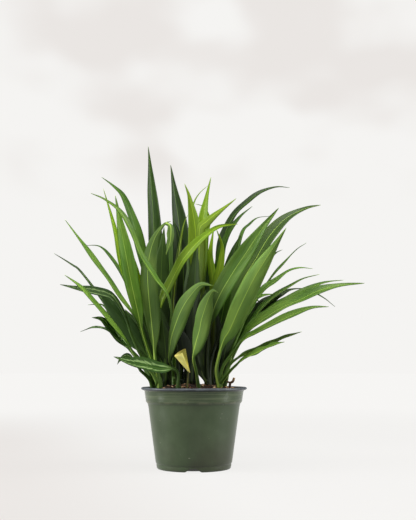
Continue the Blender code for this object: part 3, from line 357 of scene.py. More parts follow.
SHOOTS = {
    "shoot_left_patterned": (PATTERNED, (-62, -8), [
        (22, 50, 60, -70, 0.45, [(-69, 146), (-89, 172), (-126, 206), (-144, 227), (-160, 231)]),
        (13, 60, 82, -40, 0.25, [(-67, 151), (-85, 183), (-130, 238), (-151, 266), (-180, 304), (-193, 314),
            (-221, 332)]),
        (30, 5, 20, -25, 0.30, [(-67, 156), (-82, 183), (-108, 220), (-128, 245), (-151, 274)]),
        (24, 50, 66, -90, 0.40, [(-67, 146), (-86, 180), (-107, 228), (-128, 261), (-150, 270), (-183, 276),
            (-211, 283)]),
        (16, 72, 78, -20, 0.45, [(-69, 141), (-85, 163), (-109, 192), (-138, 212), (-158, 215), (-178, 209)]),
        (11, 40, 60, -60, 0.40, [(-69, 136), (-88, 154), (-103, 170), (-115, 165), (-119, 158)]),
    ]),
    "shoot_left_front": (GREEN, (-52, -32), [
        (32, 12, 48, -60, 0.20, [(-59, 161), (-67, 228), (-72, 274), (-73, 307), (-69, 336), (-62, 357),
            (-54, 371), (-46, 380), (-37, 383)]),
        (11, 10, 20, -60, 0.0, [(-45, 379), (-38, 375, -3), (-38, 354, -5), (-41, 342, -6), (-45, 330, -6)]),
        (25, 20, 30, -75, 0.30, [(-65, 161), (-77, 196), (-87, 234), (-100, 290), (-112, 350), (-117, 376),
            (-126, 425)]),
        (20, 58, 80, -55, 0.30, [(-65, 146), (-86, 167), (-106, 194), (-132, 224), (-156, 253), (-178, 278),
            (-204, 298)]),
        (22, 60, 80, 0, 0.30, [(-65, 164), (-87, 222), (-118, 263), (-136, 291), (-159, 322), (-182, 354),
            (-205, 386)]),
    ]),
    "shoot_left_back": (PAINTED_SHADE_DARK, (-46, 32), [
        (28, 35, 35, 60, 0.30, [(-54, 176), (-60, 290), (-65, 390), (-69, 440), (-74, 505)]),
        (22, 35, 45, 40, 0.35, [(-56, 176), (-67, 262), (-81, 321), (-95, 376), (-112, 421), (-129, 440),
            (-148, 455)]),
        (16, 60, 66, 75, 0.40, [(-60, 176), (-81, 232), (-107, 285), (-130, 323), (-150, 343), (-174, 345)]),
        (13, 66, 72, 60, 0.40, [(-61, 151), (-101, 198), (-129, 229), (-143, 250), (-167, 251)]),
        (32, 5, 10, 20, 0.25, [(-50, 177), (-52, 250), (-52, 310), (-48, 374)]),
        (30, 10, 10, 60, 0.30, [(-45, 177), (-41, 262), (-39, 320), (-39, 378)]),
    ]),
    "shoot_left_young": (YOUNG, (-60, 12), [
        (11, 35, 40, 10, 0.35, [(-63, 166), (-80, 226), (-113, 306), (-124, 361), (-130, 385), (-145, 436)]),
        (9, 40, 40, 30, 0.35, [(-62, 177), (-72, 236), (-91, 307), (-104, 350)]),
    ]),
    "shoot_low_patterned": (PATTERNED, (-22, -44), [
        (27, 45, 50, -120, 0.28, [(-23, 137), (-24, 146), (-33, 152), (-53, 152), (-77, 157), (-100, 161),
            (-125, 170)]),
    ]),
    "shoot_middle_front": (GREEN, (-22, -16), [
        (30, 15, 60, -120, 0.22, [(-28, 146), (-38, 167), (-36, 194), (-32, 210), (-20, 242), (-5, 266),
            (11, 282), (30, 281)]),
        (18, 50, 80, -150, 0.30, [(-24, 156), (-28, 196), (-41, 261), (-62, 294), (-85, 330), (-101, 371),
            (-119, 400), (-143, 419), (-165, 429)]),
    ]),
    "shoot_middle_young": (YOUNG, (-4, 22), [
        (28, 20, 25, 0, 0.35, [(-6, 177), (1, 276), (2, 360), (-7, 418), (-16, 444)]),
        (23, 35, 40, 35, 0.40, [(4, 187), (13, 327), (15, 394), (26, 455)]),
        (24, 50, 50, -30, 0.40, [(2, 187), (8, 327), (9, 371), (18, 381), (32, 393), (67, 420)]),
        (9, 50, 50, 50, 0.40, [(8, 187), (20, 347), (24, 386), (15, 406), (1, 411)]),
        (8, 45, 45, 10, 0.40, [(2, 187), (-5, 327), (-5, 390), (-1, 413), (8, 429), (21, 441)]),
    ]),
    "shoot_arching_young": (YOUNG, (-40, 4), [
        (19, 30, 48, -70, 0.35, [(-46, 157), (-55, 226), (-53, 248), (-45, 270), (-23, 314), (-10, 333),
            (4, 349), (19, 362), (40, 375), (69, 379)]),
        (9, 35, 35, 20, 0.40, [(-38, 177), (-30, 286), (-19, 369), (-11, 394)]),
    ]),
    "shoot_middle_back": (PAINTED_SHADE_DARK, (-20, 42), [
        (34, 34, 34, 75, 0.30, [(-20, 187), (-22, 338), (-24, 377), (-30, 418), (-38, 475)]),
        (34, 10, 10, 20, 0.25, [(-18, 187), (-17, 286), (-19, 330), (-25, 362), (-33, 385)]),
        (32, 10, 10, 30, 0.28, [(-6, 177), (8, 236), (12, 286), (9, 327), (3, 376)]),
        (28, 5, 5, 10, 0.08, [(-6, 138), (4, 158), (7, 200), (7, 264)]),
    ]),
    "shoot_right_front": (GREEN, (8, -42), [
        (31, 10, 60, -140, 0.28, [(5, 145), (0, 175), (9, 212), (12, 228), (22, 259), (30, 273), (38, 270)]),
    ]),
    "shoot_right_middle": (GREEN, (22, -10), [
        (32, 20, 30, -70, 0.30, [(19, 147), (20, 189), (28, 235), (40, 266), (61, 302), (77, 326), (108, 372),
            (134, 405)]),
        (30, 25, 55, 30, 0.35, [(26, 167), (55, 245), (76, 289), (98, 325), (119, 360), (145, 388),
            (176, 404), (201, 410)]),
        (24, 5, 10, 0, 0.10, [(16, 150), (13, 190), (14, 225), (18, 262)]),
        (22, 5, 10, 15, 0.06, [(13, 142), (6, 172), (4, 205), (6, 240)]),
    ]),
    "shoot_right_front_tall": (GREEN, (38, -34), [
        (30, 10, 15, -140, 0.22, [(35, 145), (37, 162), (46, 195), (56, 212), (73, 250), (97, 297),
            (127, 344), (146, 373)]),
        (22, 52, 75, -110, 0.30, [(44, 156), (76, 195), (96, 207), (120, 219), (151, 234), (183, 246),
            (211, 248)]),
        (18, 62, 70, -80, 0.30, [(46, 141), (58, 162), (81, 174), (112, 186), (139, 199), (168, 209)]),
        (16, 65, 70, -150, 0.30, [(46, 137), (60, 154), (78, 167), (103, 179), (125, 189), (141, 193)]),
    ]),
    "shoot_right_outer": (GREEN, (44, -2), [
        (27, 40, 78, -50, 0.20, [(50, 136), (52, 150), (58, 177), (78, 203), (106, 227), (138, 247),
            (168, 260), (195, 273), (226, 281), (268, 285)]),
        (20, 60, 72, 10, 0.28, [(57, 165), (87, 218), (119, 242), (150, 261), (179, 276), (205, 286),
            (235, 290)]),
        (18, 66, 72, 60, 0.35, [(57, 170), (100, 239), (127, 265), (152, 281), (172, 292), (197, 299)]),
        (18, 62, 68, 95, 0.35, [(56, 176), (86, 242), (108, 273), (125, 287), (147, 303), (167, 309),
            (187, 308)]),
        (15, 25, 30, 50, 0.40, [(56, 172), (70, 230), (88, 256), (106, 265), (125, 268)]),
    ]),
    "shoot_right_back": (PAINTED_SHADE_DARK, (33, 36), [
        (21, 40, 75, 90, 0.35, [(34, 197), (38, 297), (43, 346), (52, 373), (65, 396), (83, 413), (104, 430),
            (130, 439), (152, 438)]),
        (20, 45, 50, 50, 0.35, [(34, 197), (41, 317), (50, 355), (70, 388), (92, 408)]),
        (15, 50, 56, 115, 0.40, [(40, 197), (62, 315), (76, 364), (87, 378), (100, 389), (120, 392)]),
        (31, 15, 20, 20, 0.20, [(34, 177), (49, 262), (62, 332), (75, 364)]),
        (9, 60, 70, 80, 0.40, [(45, 187), (92, 254), (112, 281), (130, 304), (159, 336), (177, 349)]),
        (19, 50, 55, 125, 0.40, [(50, 177), (80, 220), (109, 253), (131, 264), (150, 274), (174, 277)]),
        (14, 40, 50, 60, 0.40, [(45, 187), (80, 276), (108, 309), (128, 332), (139, 338)]),
        (30, 10, 15, 40, 0.35, [(48, 177), (84, 226), (112, 250), (140, 268)]),
        (8, 60, 70, 60, 0.40, [(60, 176), (105, 236), (148, 264), (181, 271), (203, 262), (221, 248)]),
    ]),
    "shoot_pale_young": (YOUNG, (24, 18), [
        (13, 15, 15, 0, 0.42, [(28, 177), (30, 274), (27, 307), (25, 332), (31, 374)]),
        (13, 15, 15, -15, 0.42, [(30, 177), (33, 274), (40, 307), (44, 342), (35, 371)]),
    ]),
}
print("leaves read from the photograph:", sum(len(row[2]) for row in SHOOTS.values()))

# %% [markdown]
# The heart of the plant and its back can't be seen leaf by leaf. In the solid model a rule with a fixed
# random seed places their leaves, and the same rule and seed run again here. Each shoot gives its kind of
# leaf, the place of its stem, its number of leaves and how far left and right their tips reach.

# %% Plan of the leaves that a rule places
INNER_SHOOTS = {
    "shoot_inner_left": (PAINTED_SHADE_DARK, (-42, -14), 5, -112, -48),
    "shoot_inner_middle": (PAINTED_SHADE_DARK, (-6, -10), 5, -44, 26),
    "shoot_inner_right": (PAINTED_SHADE_DARK, (36, 14), 5, 22, 108),
}
REAR_SHOOTS = {
    "shoot_rear_left": (GREEN, (-33, 52), 5, -130, -20),
    "shoot_rear_middle": (GREEN, (0, 60), 6, -50, 50),
    "shoot_rear_right": (GREEN, (30, 53), 5, 25, 130),
}
INNER_WIDTH = (24.0, 30.0)
INNER_DEPTH = (-20.0, 70.0)
INNER_TOP = (0.62, 1.0)
INNER_BOW = (0.25, 0.45)
INNER_TURN = 35.0
REAR_WIDTH = (20.0, 29.0)
REAR_DEPTH = (95.0, 215.0)
REAR_TOP = (0.35, 1.0)
REAR_DROOP = 25.0
REAR_ARCH = ((0.08, 0.30), (0.34, 0.74), (0.70, 1.0))
LOWEST_TIP = 185.0
DOME_TOP = 385.0
DOME_FALL = 0.95
SKIRT_MIDDLE = -8.0
SKIRT_REACH = 56.0
SKIRT_FOOT = 147.0
SKIRT_SLOPE = 1.35
SEED = 11


def dome_height(x):
    """How high the plant's dense heart reaches, at a distance to the side."""
    return DOME_TOP - DOME_FALL * abs(x - SIGHT.x / 2)


def skirt_height(x):
    """How low leaves may be seen from the front, at a distance to the side."""
    return SKIRT_FOOT + SKIRT_SLOPE * (abs(x - SKIRT_MIDDLE) - SKIRT_REACH)


# %% [markdown]
# ## The course of a leaf
# A leaf starts in its stem and runs through the points of its course to the tip. The points were read in
# the pot's middle plane, so each is slid along the line of sight to its own depth, which leaves the view
# from the front unchanged. A smooth curve then runs through all of them.

# %% Helpers for the course of a leaf
ROOT_HEIGHT = 120.0
ROOT_STEP = 3.0
ROOT_SPREAD = 2.0
CURVE_STEPS = 12


def along_sight(x, z, depth):
    """Slides a point of the middle plane along the line of sight to a depth."""
    share = (depth - SIGHT.y) / -SIGHT.y
    return Vector((SIGHT.x + (x - SIGHT.x) * share, depth, SIGHT.z + (z - SIGHT.z) * share))


def root_height(index):
    return ROOT_HEIGHT + ROOT_STEP * (index % 5)


def root_place(stem, x, depth, rise):
    """Where a leaf starts in its stem, off the stem's middle towards the leaf's own side."""
    out = Vector((x - stem[0], depth - stem[1])).normalized() * ROOT_SPREAD
    return Vector((stem[0] + out.x, stem[1] + out.y, rise))


def seen_course(stem, depth, course, rise, hanging):
    """The points of a leaf that was read from the photograph, from its stem out to its tip."""
    if hanging:
        return [along_sight(x, z, depth + sum(nudge)) for x, z, *nudge in course]
    flat = [Vector((stem[0], rise))] + [Vector(point[:2]) for point in course]
    reach = [0.0]
    for first, second in zip(flat, flat[1:]):
        reach.append(reach[-1] + (second - first).length)
    points = [root_place(stem, course[-1][0], depth, rise)]
    for (x, z, *nudge), length in zip(course, reach[1:]):
        lean = (length / reach[-1]) ** 1.2
        points.append(along_sight(x, z, stem[1] + (depth - stem[1]) * lean + sum(nudge)))
    return points


def smooth_curve(points):
    """A curve through the points in fine steps, with its length at each step."""
    ends = [points[0] * 2 - points[1]] + list(points) + [points[-1] * 2 - points[-2]]
    dense = []
    for a, b, c, d in zip(ends, ends[1:], ends[2:], ends[3:]):
        for step in range(CURVE_STEPS):
            t = step / CURVE_STEPS
            dense.append(0.5 * ((2 * b) + (c - a) * t + (2 * a - 5 * b + 4 * c - d) * t * t
                                + (3 * b - a - 3 * c + d) * t ** 3))
    dense.append(points[-1].copy())
    lengths = [0.0]
    for first, second in zip(dense, dense[1:]):
        lengths.append(lengths[-1] + (second - first).length)
    return dense, lengths


def at_length(curve, wanted):
    """The point of a curve at a length from its start."""
    dense, lengths = curve
    for index in range(1, len(lengths)):
        if lengths[index] >= wanted:
            span = max(lengths[index] - lengths[index - 1], 1e-9)
            return dense[index - 1].lerp(dense[index], (wanted - lengths[index - 1]) / span)
    return dense[-1].copy()


def even_points(curve, steps):
    """Points at even lengths along a curve, both ends among them."""
    return [at_length(curve, curve[1][-1] * step / steps) for step in range(steps + 1)]


# %% [markdown]
# ## Where each leaf ended up
# The solid model bends every leaf forward or backward until it is clear of the other shoots. The packed
# solid keeps the tip of each leaf as a corner of its mesh. A search tree over those corners therefore tells
# which bend was used: the tip that the right bend gives lies on a corner, and the others lie millimetres
# away.

# %% Helpers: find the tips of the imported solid
BENDS = [0] + [sign * step * 7 for step in range(1, 22) for sign in (1, -1)]
INNER_BENDS = BENDS[:9]
TIP_MISS = 0.15


def corner_tree(solid):
    """A search tree over the corners of a solid, in millimetres."""
    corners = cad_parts[solid].data.vertices
    tree = KDTree(len(corners))
    for corner in corners:
        tree.insert(corner.co / MM, corner.index)
    tree.balance()
    return tree


def best_bend(corners, tip_at, bends):
    """The bend whose tip lies nearest to a corner of the solid, and how far it misses."""
    found = [(corners.find(tip_at(bend))[2], bend) for bend in bends]
    miss, bend = min(found, key=lambda item: item[0])
    return bend, miss


# %% [markdown]
# ## How a blade is turned
# The direction across a blade decides whether the front sees its face or its edge. It starts from the line
# of sight, is turned by the angle in the plan, and is then carried along the curve without twisting it.

# %% Helpers: the direction across a blade


def side_of_seen(middle, tangent, turn, leftward):
    """Width direction of a blade turned from facing the front."""
    sight = (middle - SIGHT).normalized()
    across = tangent.cross(sight).normalized()
    if leftward:
        across = -across
    away = across.cross(tangent).normalized()
    if away.y < 0:
        away = -away
    return (across * math.cos(turn) + away * math.sin(turn)).normalized()


def seen_leaf(stem, leaf, depth, rise):
    """The points, width, side, twist and stalk share of a leaf that was read from the photograph."""
    width, turn_base, turn_tip, _, stalk, course = leaf
    leftward = course[-1][0] < stem[0]
    turn = math.radians((turn_base + turn_tip) / 2)
    twist = math.radians(turn_tip - turn_base) * (-1 if leftward else 1)
    points = seen_course(stem, depth, course, rise, hanging=not stalk)
    curve = smooth_curve(points)
    half_way = curve[1][-1] * (stalk + (1 - stalk) * 0.5)
    before, middle, after = (at_length(curve, half_way + step) for step in (-3.0, 0.0, 3.0))
    tangent = (after - before).normalized()
    return points, width, side_of_seen(middle, tangent, turn, leftward), twist, stalk


# %% Leaves read from the photograph, at the bends of the solid
leaves_of = {}
worst_miss = 0.0
for name, (kind, stem, plan) in SHOOTS.items():
    corners = corner_tree(name)
    leaves_of[name] = []
    depth = 0.0
    for index, leaf in enumerate(plan):
        tip_depth, stalk, course = leaf[3:]
        if stalk:
            x, z, *nudge = course[-1]
            bend, miss = best_bend(corners, lambda b: along_sight(x, z, tip_depth + b + sum(nudge)), BENDS)
            worst_miss = max(worst_miss, miss)
            depth = tip_depth + bend
        leaves_of[name].append(seen_leaf(stem, leaf, depth, root_height(index)))
print("worst miss of a tip", round(worst_miss, 3), "mm")

# %% [markdown]
# The hidden leaves are tried again in the same order and with the same random numbers. A try counts when
# its tip is a corner of the solid, because only the tries that fitted became part of it.

# %% Rules for the hidden leaves
tries = random.Random(SEED)


def inner_try(corners, stem, x, rise):
    """One try at an upright leaf in the heart of the plant, its face towards the front."""
    top = dome_height(x) * tries.uniform(*INNER_TOP)
    depth = tries.uniform(*INNER_DEPTH)
    bow = tries.uniform(*INNER_BOW)
    run, climb = x - stem[0], top - rise
    course = [(stem[0] + run * part * bow / 0.5, rise + climb * part) for part in (0.25, 0.5)]
    course += [(stem[0] + run * 0.72, rise + climb * 0.8), (x, top)]
    turn = tries.uniform(-INNER_TURN, INNER_TURN)
    leaf = (tries.uniform(*INNER_WIDTH), turn, turn + tries.uniform(-15, 15), depth,
            tries.uniform(0.2, 0.3), course)
    bend, miss = best_bend(corners, lambda b: along_sight(x, top, depth + b), INNER_BENDS)
    return seen_leaf(stem, leaf, depth + bend, rise) if miss < TIP_MISS else None


def rear_try(corners, stem, x, rise):
    """One try at a leaf of the back: it rises from the stem, arches backward and droops at the tip."""
    depth = tries.uniform(*REAR_DEPTH)
    lowest = max(LOWEST_TIP, skirt_height(x * 0.9) + 24.0)
    top = lowest + (dome_height(x) - lowest) * tries.uniform(*REAR_TOP)
    tip = Vector((x, depth, max(top - tries.uniform(0.0, REAR_DROOP), lowest - 12.0)))
    root = root_place(stem, x, depth, rise)
    run = Vector((tip.x - root.x, tip.y - root.y, 0.0))
    climb = Vector((0.0, 0.0, top - rise))
    points = [root + run * out + climb * up for out, up in REAR_ARCH]
    across = Vector((-run.y, run.x, 0.0)).normalized()
    lean = tries.uniform(-0.5, 0.5)
    side = (across * math.cos(lean) + Vector((0, 0, 1)) * math.sin(lean)).normalized()
    leaf = ([root, *points, tip], tries.uniform(*REAR_WIDTH), side, tries.uniform(-0.5, 0.5),
            tries.uniform(0.22, 0.34))
    return leaf if corners.find(tip)[2] < TIP_MISS else None


# %% Hidden leaves, found again in the solid
INNER_TRIES = 40
REAR_TRIES = 80
for shoots, one_try, most in ((INNER_SHOOTS, inner_try, INNER_TRIES), (REAR_SHOOTS, rear_try, REAR_TRIES)):
    for name, (kind, stem, count, leftmost, rightmost) in shoots.items():
        corners = corner_tree(name)
        leaves_of[name] = []
        for index in range(count):
            for _ in range(most):
                share = (index + tries.uniform(0.1, 0.9)) / count
                leaf = one_try(corners, stem, leftmost + (rightmost - leftmost) * share, root_height(index))
                if leaf:
                    leaves_of[name].append(leaf)
                    break
ALL_SHOOTS = {**SHOOTS, **INNER_SHOOTS, **REAR_SHOOTS}
wanted = sum(row[2] if isinstance(row[2], int) else len(row[2]) for row in ALL_SHOOTS.values())
print("leaves found:", sum(len(found) for found in leaves_of.values()), "of", wanted)

# %% [markdown]
# ## Modelling a leaf
# A leaf could be carved from a block or unfolded from a plane. A plane is closer to the real thing: it
# starts as a flat grid, narrow enough to have a row of faces on each side of the midrib. Its rows are set
# along the curve and its columns across it. Along the stalk the grid curls into a gutter, as real stalks
# do, and near the stem the gutter widens into a sheath. Further out it opens into a blade that is folded a
# little at the midrib, with a gently waved margin. A Solidify modifier gives the sheet its thickness and a
# second finish for the underside.

# %% Helpers: the form of a leaf
STALK_HALF_WIDTH = 2.1
SHEATH_HALF_WIDTH = 3.8
STALK_DEPTH = 3.0
STALK_CURL = math.radians(118)
LEAF_FOLD = 0.22
FOLD_POWER = 1.3
LEAF_CUP = 0.05
MARGIN_SHIFT = 1.9
TIP_THINNING = 0.30
THINNING_START = 0.66
NECK_SHARE = 0.3
LEAF_COLUMNS = 12
ROW_LENGTH = 5.0
GROOVE_DEPTH = 0.45
GROOVE_WIDTH = 0.8
LEAF_WALL = 0.55


def blade_shape(t):
    """Half width along a lance-shaped blade, 1 at its widest, with a long drawn-out tip."""
    lance = max(0.0, math.sin(math.pi * min(t, 1.0) ** 0.72)) ** 0.85
    return lance * (1 - TIP_THINNING * eased((t - THINNING_START) / 0.30))


def eased(value):
    """From 0 to 1 with a soft start and end."""
    value = min(1.0, max(0.0, value))
    return value * value * (3 - 2 * value)


def leaf_rows(points, side_at_middle, twist, stalk, rows):
    """For each row of the grid: its centre, directions across and off the face, share and length."""
    curve = smooth_curve(points)
    centres = even_points(curve, rows)
    tangents = []
    for row in range(rows + 1):
        before, after = centres[max(row - 1, 0)], centres[min(row + 1, rows)]
        tangents.append((after - before).normalized())
    middle = round(rows * (stalk + (1 - stalk) * 0.5))
    sides = [None] * (rows + 1)
    along = tangents[middle]
    sides[middle] = (side_at_middle - along * side_at_middle.dot(along)).normalized()
    for step, end in ((1, rows + 1), (-1, -1)):
        for row in range(middle + step, end, step):
            sides[row] = tangents[row - step].rotation_difference(tangents[row]) @ sides[row - step]
    up = sides[middle].cross(along)
    inward = Vector((-centres[-1].x, -centres[-1].y, 0.0)).normalized()
    flip = 1.0 if up.dot(Vector((0, 0, 1)) * 0.7 + inward * 0.3) > 0 else -1.0
    made = []
    for row in range(rows + 1):
        share = (row / rows - stalk) / (1 - stalk)
        side = Matrix.Rotation(twist * (share - 0.5), 3, tangents[row]) @ sides[row] * flip
        normal = side.cross(tangents[row]).normalized()
        made.append((centres[row], side, normal, share, curve[1][-1] * row / rows))
    return made


def leaf_point(row, column, width, stalk, waves):
    """Where a point of the grid goes: column runs from -1 at one margin over 0 at the midrib to 1."""
    centre, side, normal, share, _ = row
    away = abs(column)
    down_stalk = -share * (1 - stalk) / stalk if share < 0 and stalk else 0.0
    gutter = STALK_HALF_WIDTH + (SHEATH_HALF_WIDTH - STALK_HALF_WIDTH) * down_stalk ** 2
    curl = column * STALK_CURL
    curled = side * (gutter * math.sin(curl)) + normal * (gutter * (1 - math.cos(curl)) - STALK_DEPTH)
    neck = STALK_HALF_WIDTH * max(0.0, 1 - share / NECK_SHARE)
    half = math.hypot(blade_shape(max(share, 0.0)) * width / 2, neck) if share > 0 else neck
    lift = half * (LEAF_FOLD * away ** FOLD_POWER - LEAF_CUP * math.sin(math.pi * away))
    phase, count, size = waves
    ripple = math.sin(math.tau * count * share + phase + (MARGIN_SHIFT if column > 0 else 0.0))
    lift += size * ripple * away ** 2 * min(1.0, half / 6)
    reach = half * column
    groove = GROOVE_DEPTH * math.exp(-(reach / GROOVE_WIDTH) ** 2) * (1 - 0.6 * max(share, 0.0))
    open_blade = side * reach + normal * (lift - groove)
    openness = eased((share + 0.05) / 0.19)
    return centre + curled.lerp(open_blade, openness), reach, half


# %% [markdown]
# All the leaves of a shoot go into one mesh, together with the short stem that their sheaths wrap. The stem
# is an outline spun round the upright axis, swollen a little where a leaf was attached.

# %% Helpers: one leaf, one stem, one shoot
STEM_FOOT = 100.0
STEM_RADIUS = 5.2
STEM_NECK = 3.4
STEM_STEPS = 14
STEM_RINGS = 4
STEM_KNOT = ((0.0, 0.0), (0.5, 0.8), (-0.1, 1.7))
COLUMN_CROWDING = 1.6
FEWEST_ROWS = 30
MOST_ROWS = 66


def leaf_layers(bm):
    """The two attributes that a leaf's finish reads."""
    return [bm.verts.layers.float_vector.new(name) for name in (ACROSS_ATTRIBUTE, SHARE_ATTRIBUTE)]


def thickened(piece, wall, offset):
    """Gives a sheet its thickness."""
    solidify = piece.modifiers.new("leaf thickness", "SOLIDIFY")
    solidify.thickness = wall * MM
    solidify.offset = offset
    return solidify


def beside(radius, height, *steps):
    """Points of an outline, as steps outward and upward from a radius and a height."""
    return [(radius + out, height + up) for out, up in steps]


def spin_outline(bm, outline, steps, centre=(0.0, 0.0)):
    """Turns an outline of radii and heights once round an upright axis. Returns the outline's edges."""
    verts = [bm.verts.new((centre[0] + radius, centre[1], height)) for radius, height in outline]
    edges = [bm.edges.new(pair) for pair in zip(verts, verts[1:])]
    bmesh.ops.spin(bm, geom=verts + edges, angle=math.tau, steps=steps, axis=(0, 0, 1),
                   cent=(*centre, 0.0), use_merge=True)
    return edges


def add_leaf(bm, layers, shape, chance, tone):
    """Lays one leaf into a shoot's mesh, with the attributes that its finish reads."""
    points, width, side, twist, stalk = shape
    total = smooth_curve(points)[1][-1]
    rows = max(FEWEST_ROWS, min(MOST_ROWS, round(total / ROW_LENGTH)))
    frames = leaf_rows(points, side, twist, stalk, rows)
    waves = (chance * 40.0, 1.5 + 1.6 * ((chance * 7.3) % 1.0), 0.5 + 0.7 * ((chance * 3.7) % 1.0))
    grid = bmesh.ops.create_grid(bm, x_segments=LEAF_COLUMNS, y_segments=rows, size=0.5)
    for vert in grid["verts"]:
        row = frames[round((vert.co.y + 0.5) * rows)]
        flat = vert.co.x * 2
        column = math.copysign(abs(flat) ** COLUMN_CROWDING, flat)
        vert.co, reach, half = leaf_point(row, column, width, stalk, waves)
        share, length = row[3:]
        vert[layers[0]] = (reach, length, tone)
        vert[layers[1]] = (abs(column), share, half)


def add_stem(bm, layers, stem, top, chance):
    """Spins the short stem, closed at its top, into a shoot's mesh."""
    outline = [(STEM_RADIUS, STEM_FOOT), (STEM_RADIUS * 0.97, ROOT_HEIGHT - 6)]
    for ring in range(STEM_RINGS):
        share = (ring + 0.5) / STEM_RINGS
        height = ROOT_HEIGHT - 4 + (top - ROOT_HEIGHT + 2) * share
        radius = STEM_RADIUS + (STEM_NECK - STEM_RADIUS) * share
        outline += beside(radius, height, *STEM_KNOT)
    outline += [(STEM_NECK * 0.8, top - 0.4), (STEM_NECK * 0.4, top), (0.0, top)]
    edges = spin_outline(bm, outline, STEM_STEPS, stem)
    newest = {vert for edge in edges for face in edge.link_faces for vert in face.verts}
    reached = set(newest)
    while newest:
        newest = {other for vert in newest for edge in vert.link_edges for other in edge.verts} - reached
        reached |= newest
    for vert in reached:
        vert[layers[0]] = (2.5, vert.co.z, chance)
        vert[layers[1]] = (0.5, -1.0, 5.0)
    faces = {face for vert in reached for face in vert.link_faces}
    bmesh.ops.remove_doubles(bm, verts=list(reached), dist=0.01)
    bmesh.ops.recalc_face_normals(bm, faces=[face for face in faces if face.is_valid])


def make_shoot(name, kind, stem, leaves):
    """One shoot: a stem and its leaves as a single piece."""
    bm = bmesh.new()
    layers = leaf_layers(bm)
    chances = random.Random(name)
    tones = LEAF_TONES_WITH_PAINTED_LIGHT.get(name, {})
    for number, shape in enumerate(leaves):
        chance = chances.random()
        add_leaf(bm, layers, shape, chance, tones.get(number, chance))
    top = root_height(min(len(leaves), 5) - 1) + 2 * ROOT_STEP
    add_stem(bm, layers, stem, top, chances.random())
    piece = finished_piece(name.replace("shoot", "leaves"), bm, leaf_finishes[kind], name)
    thickened(piece, LEAF_WALL, -1.0).material_offset = 1
    return piece


# %% [markdown]
# Each leaf's tone is a random number, 0 for a dark and 1 for a light one, and a listed tone may lie
# below or above that. The leaves that stand out in the photograph get the tone that they show there.

# %% Tones of single leaves
# These tones partly paint in light and shade: leaves that lie in shadow get darker tones, and leaves that
# catch the light get lighter ones.
LEAF_TONES_WITH_PAINTED_LIGHT = {
    "shoot_left_patterned": {0: 2.2, 2: 1.5, 4: 2.2},
    "shoot_low_patterned": {0: 0.9},
    "shoot_left_front": {0: -0.1, 1: 0.2, 2: 1.1, 3: 1.3, 4: 1.0},
    "shoot_left_back": {0: 0.0, 1: 1.9, 2: 2.0, 3: 2.2},
    "shoot_middle_front": {0: 0.3, 1: 0.6},
    "shoot_middle_back": {0: -0.6, 1: -0.8},
    "shoot_middle_young": {2: -0.2, 4: -0.3},
    "shoot_arching_young": {1: -1.1},
    "shoot_right_front": {0: 0.5},
    "shoot_right_front_tall": {0: 1.3, 1: 0.0, 2: -0.7, 3: -0.4},
    "shoot_right_middle": {0: 0.3, 1: -0.8},
    "shoot_right_outer": {3: 1.5, 4: 1.4},
    "shoot_right_back": {0: -0.6, 3: 0.9, 4: 1.4, 5: -1.1, 7: -1.1},
    "shoot_pale_young": {0: 1.5, 1: 1.3},
}
print("leaves with a tone of their own:", sum(len(tones) for tones in LEAF_TONES_WITH_PAINTED_LIGHT.values()))

# %% Every shoot
for name, (kind, stem, *_) in ALL_SHOOTS.items():
    made = make_shoot(name, kind, stem, leaves_of[name])
    print(made.name, len(leaves_of[name]), "leaves,", len(made.data.polygons), "faces")

# %% [markdown]
# ## The pot
# A nursery pot is moulded in one piece from thin plastic: a rolled lip, a wide collar over a small ledge, a
# tapering body, and a foot with arched notches and drain holes. Half of its outline spun round the axis
# gives all of that. The notches are made by lifting the foot's lowest rings in four places.

# %% Pot outline
RIM_RADIUS = 81.8
RIM_TOP = 123.0
LIP_FOOT = RIM_TOP - 4.6
COLLAR_RADIUS = 76.6
COLLAR_FOOT_RADIUS = 74.2
LEDGE_HEIGHT = 100.2
BODY_TOP_RADIUS = 71.4
FOOT_RADIUS = 57.5
FOOT_BAND = 8.5
WALL = 1.6
PAD_RADIUS = 40.0
PAD_TOP = 2.2
GUTTER_HEIGHT = 4.8
POT_STEPS = 144


def pot_radius(height):
    """The body's taper between the foot and the ledge under the collar."""
    share = (height - FOOT_BAND) / (LEDGE_HEIGHT - FOOT_BAND)
    return FOOT_RADIUS + 1.0 + (BODY_TOP_RADIUS - FOOT_RADIUS - 1.0) * share


def spun_mesh(outline, steps):
    """A mesh made by turning an outline once round the upright axis."""
    bm = bmesh.new()
    spin_outline(bm, outline, steps)
    bmesh.ops.remove_doubles(bm, verts=bm.verts, dist=0.01)
    bmesh.ops.recalc_face_normals(bm, faces=bm.faces)
    return bm


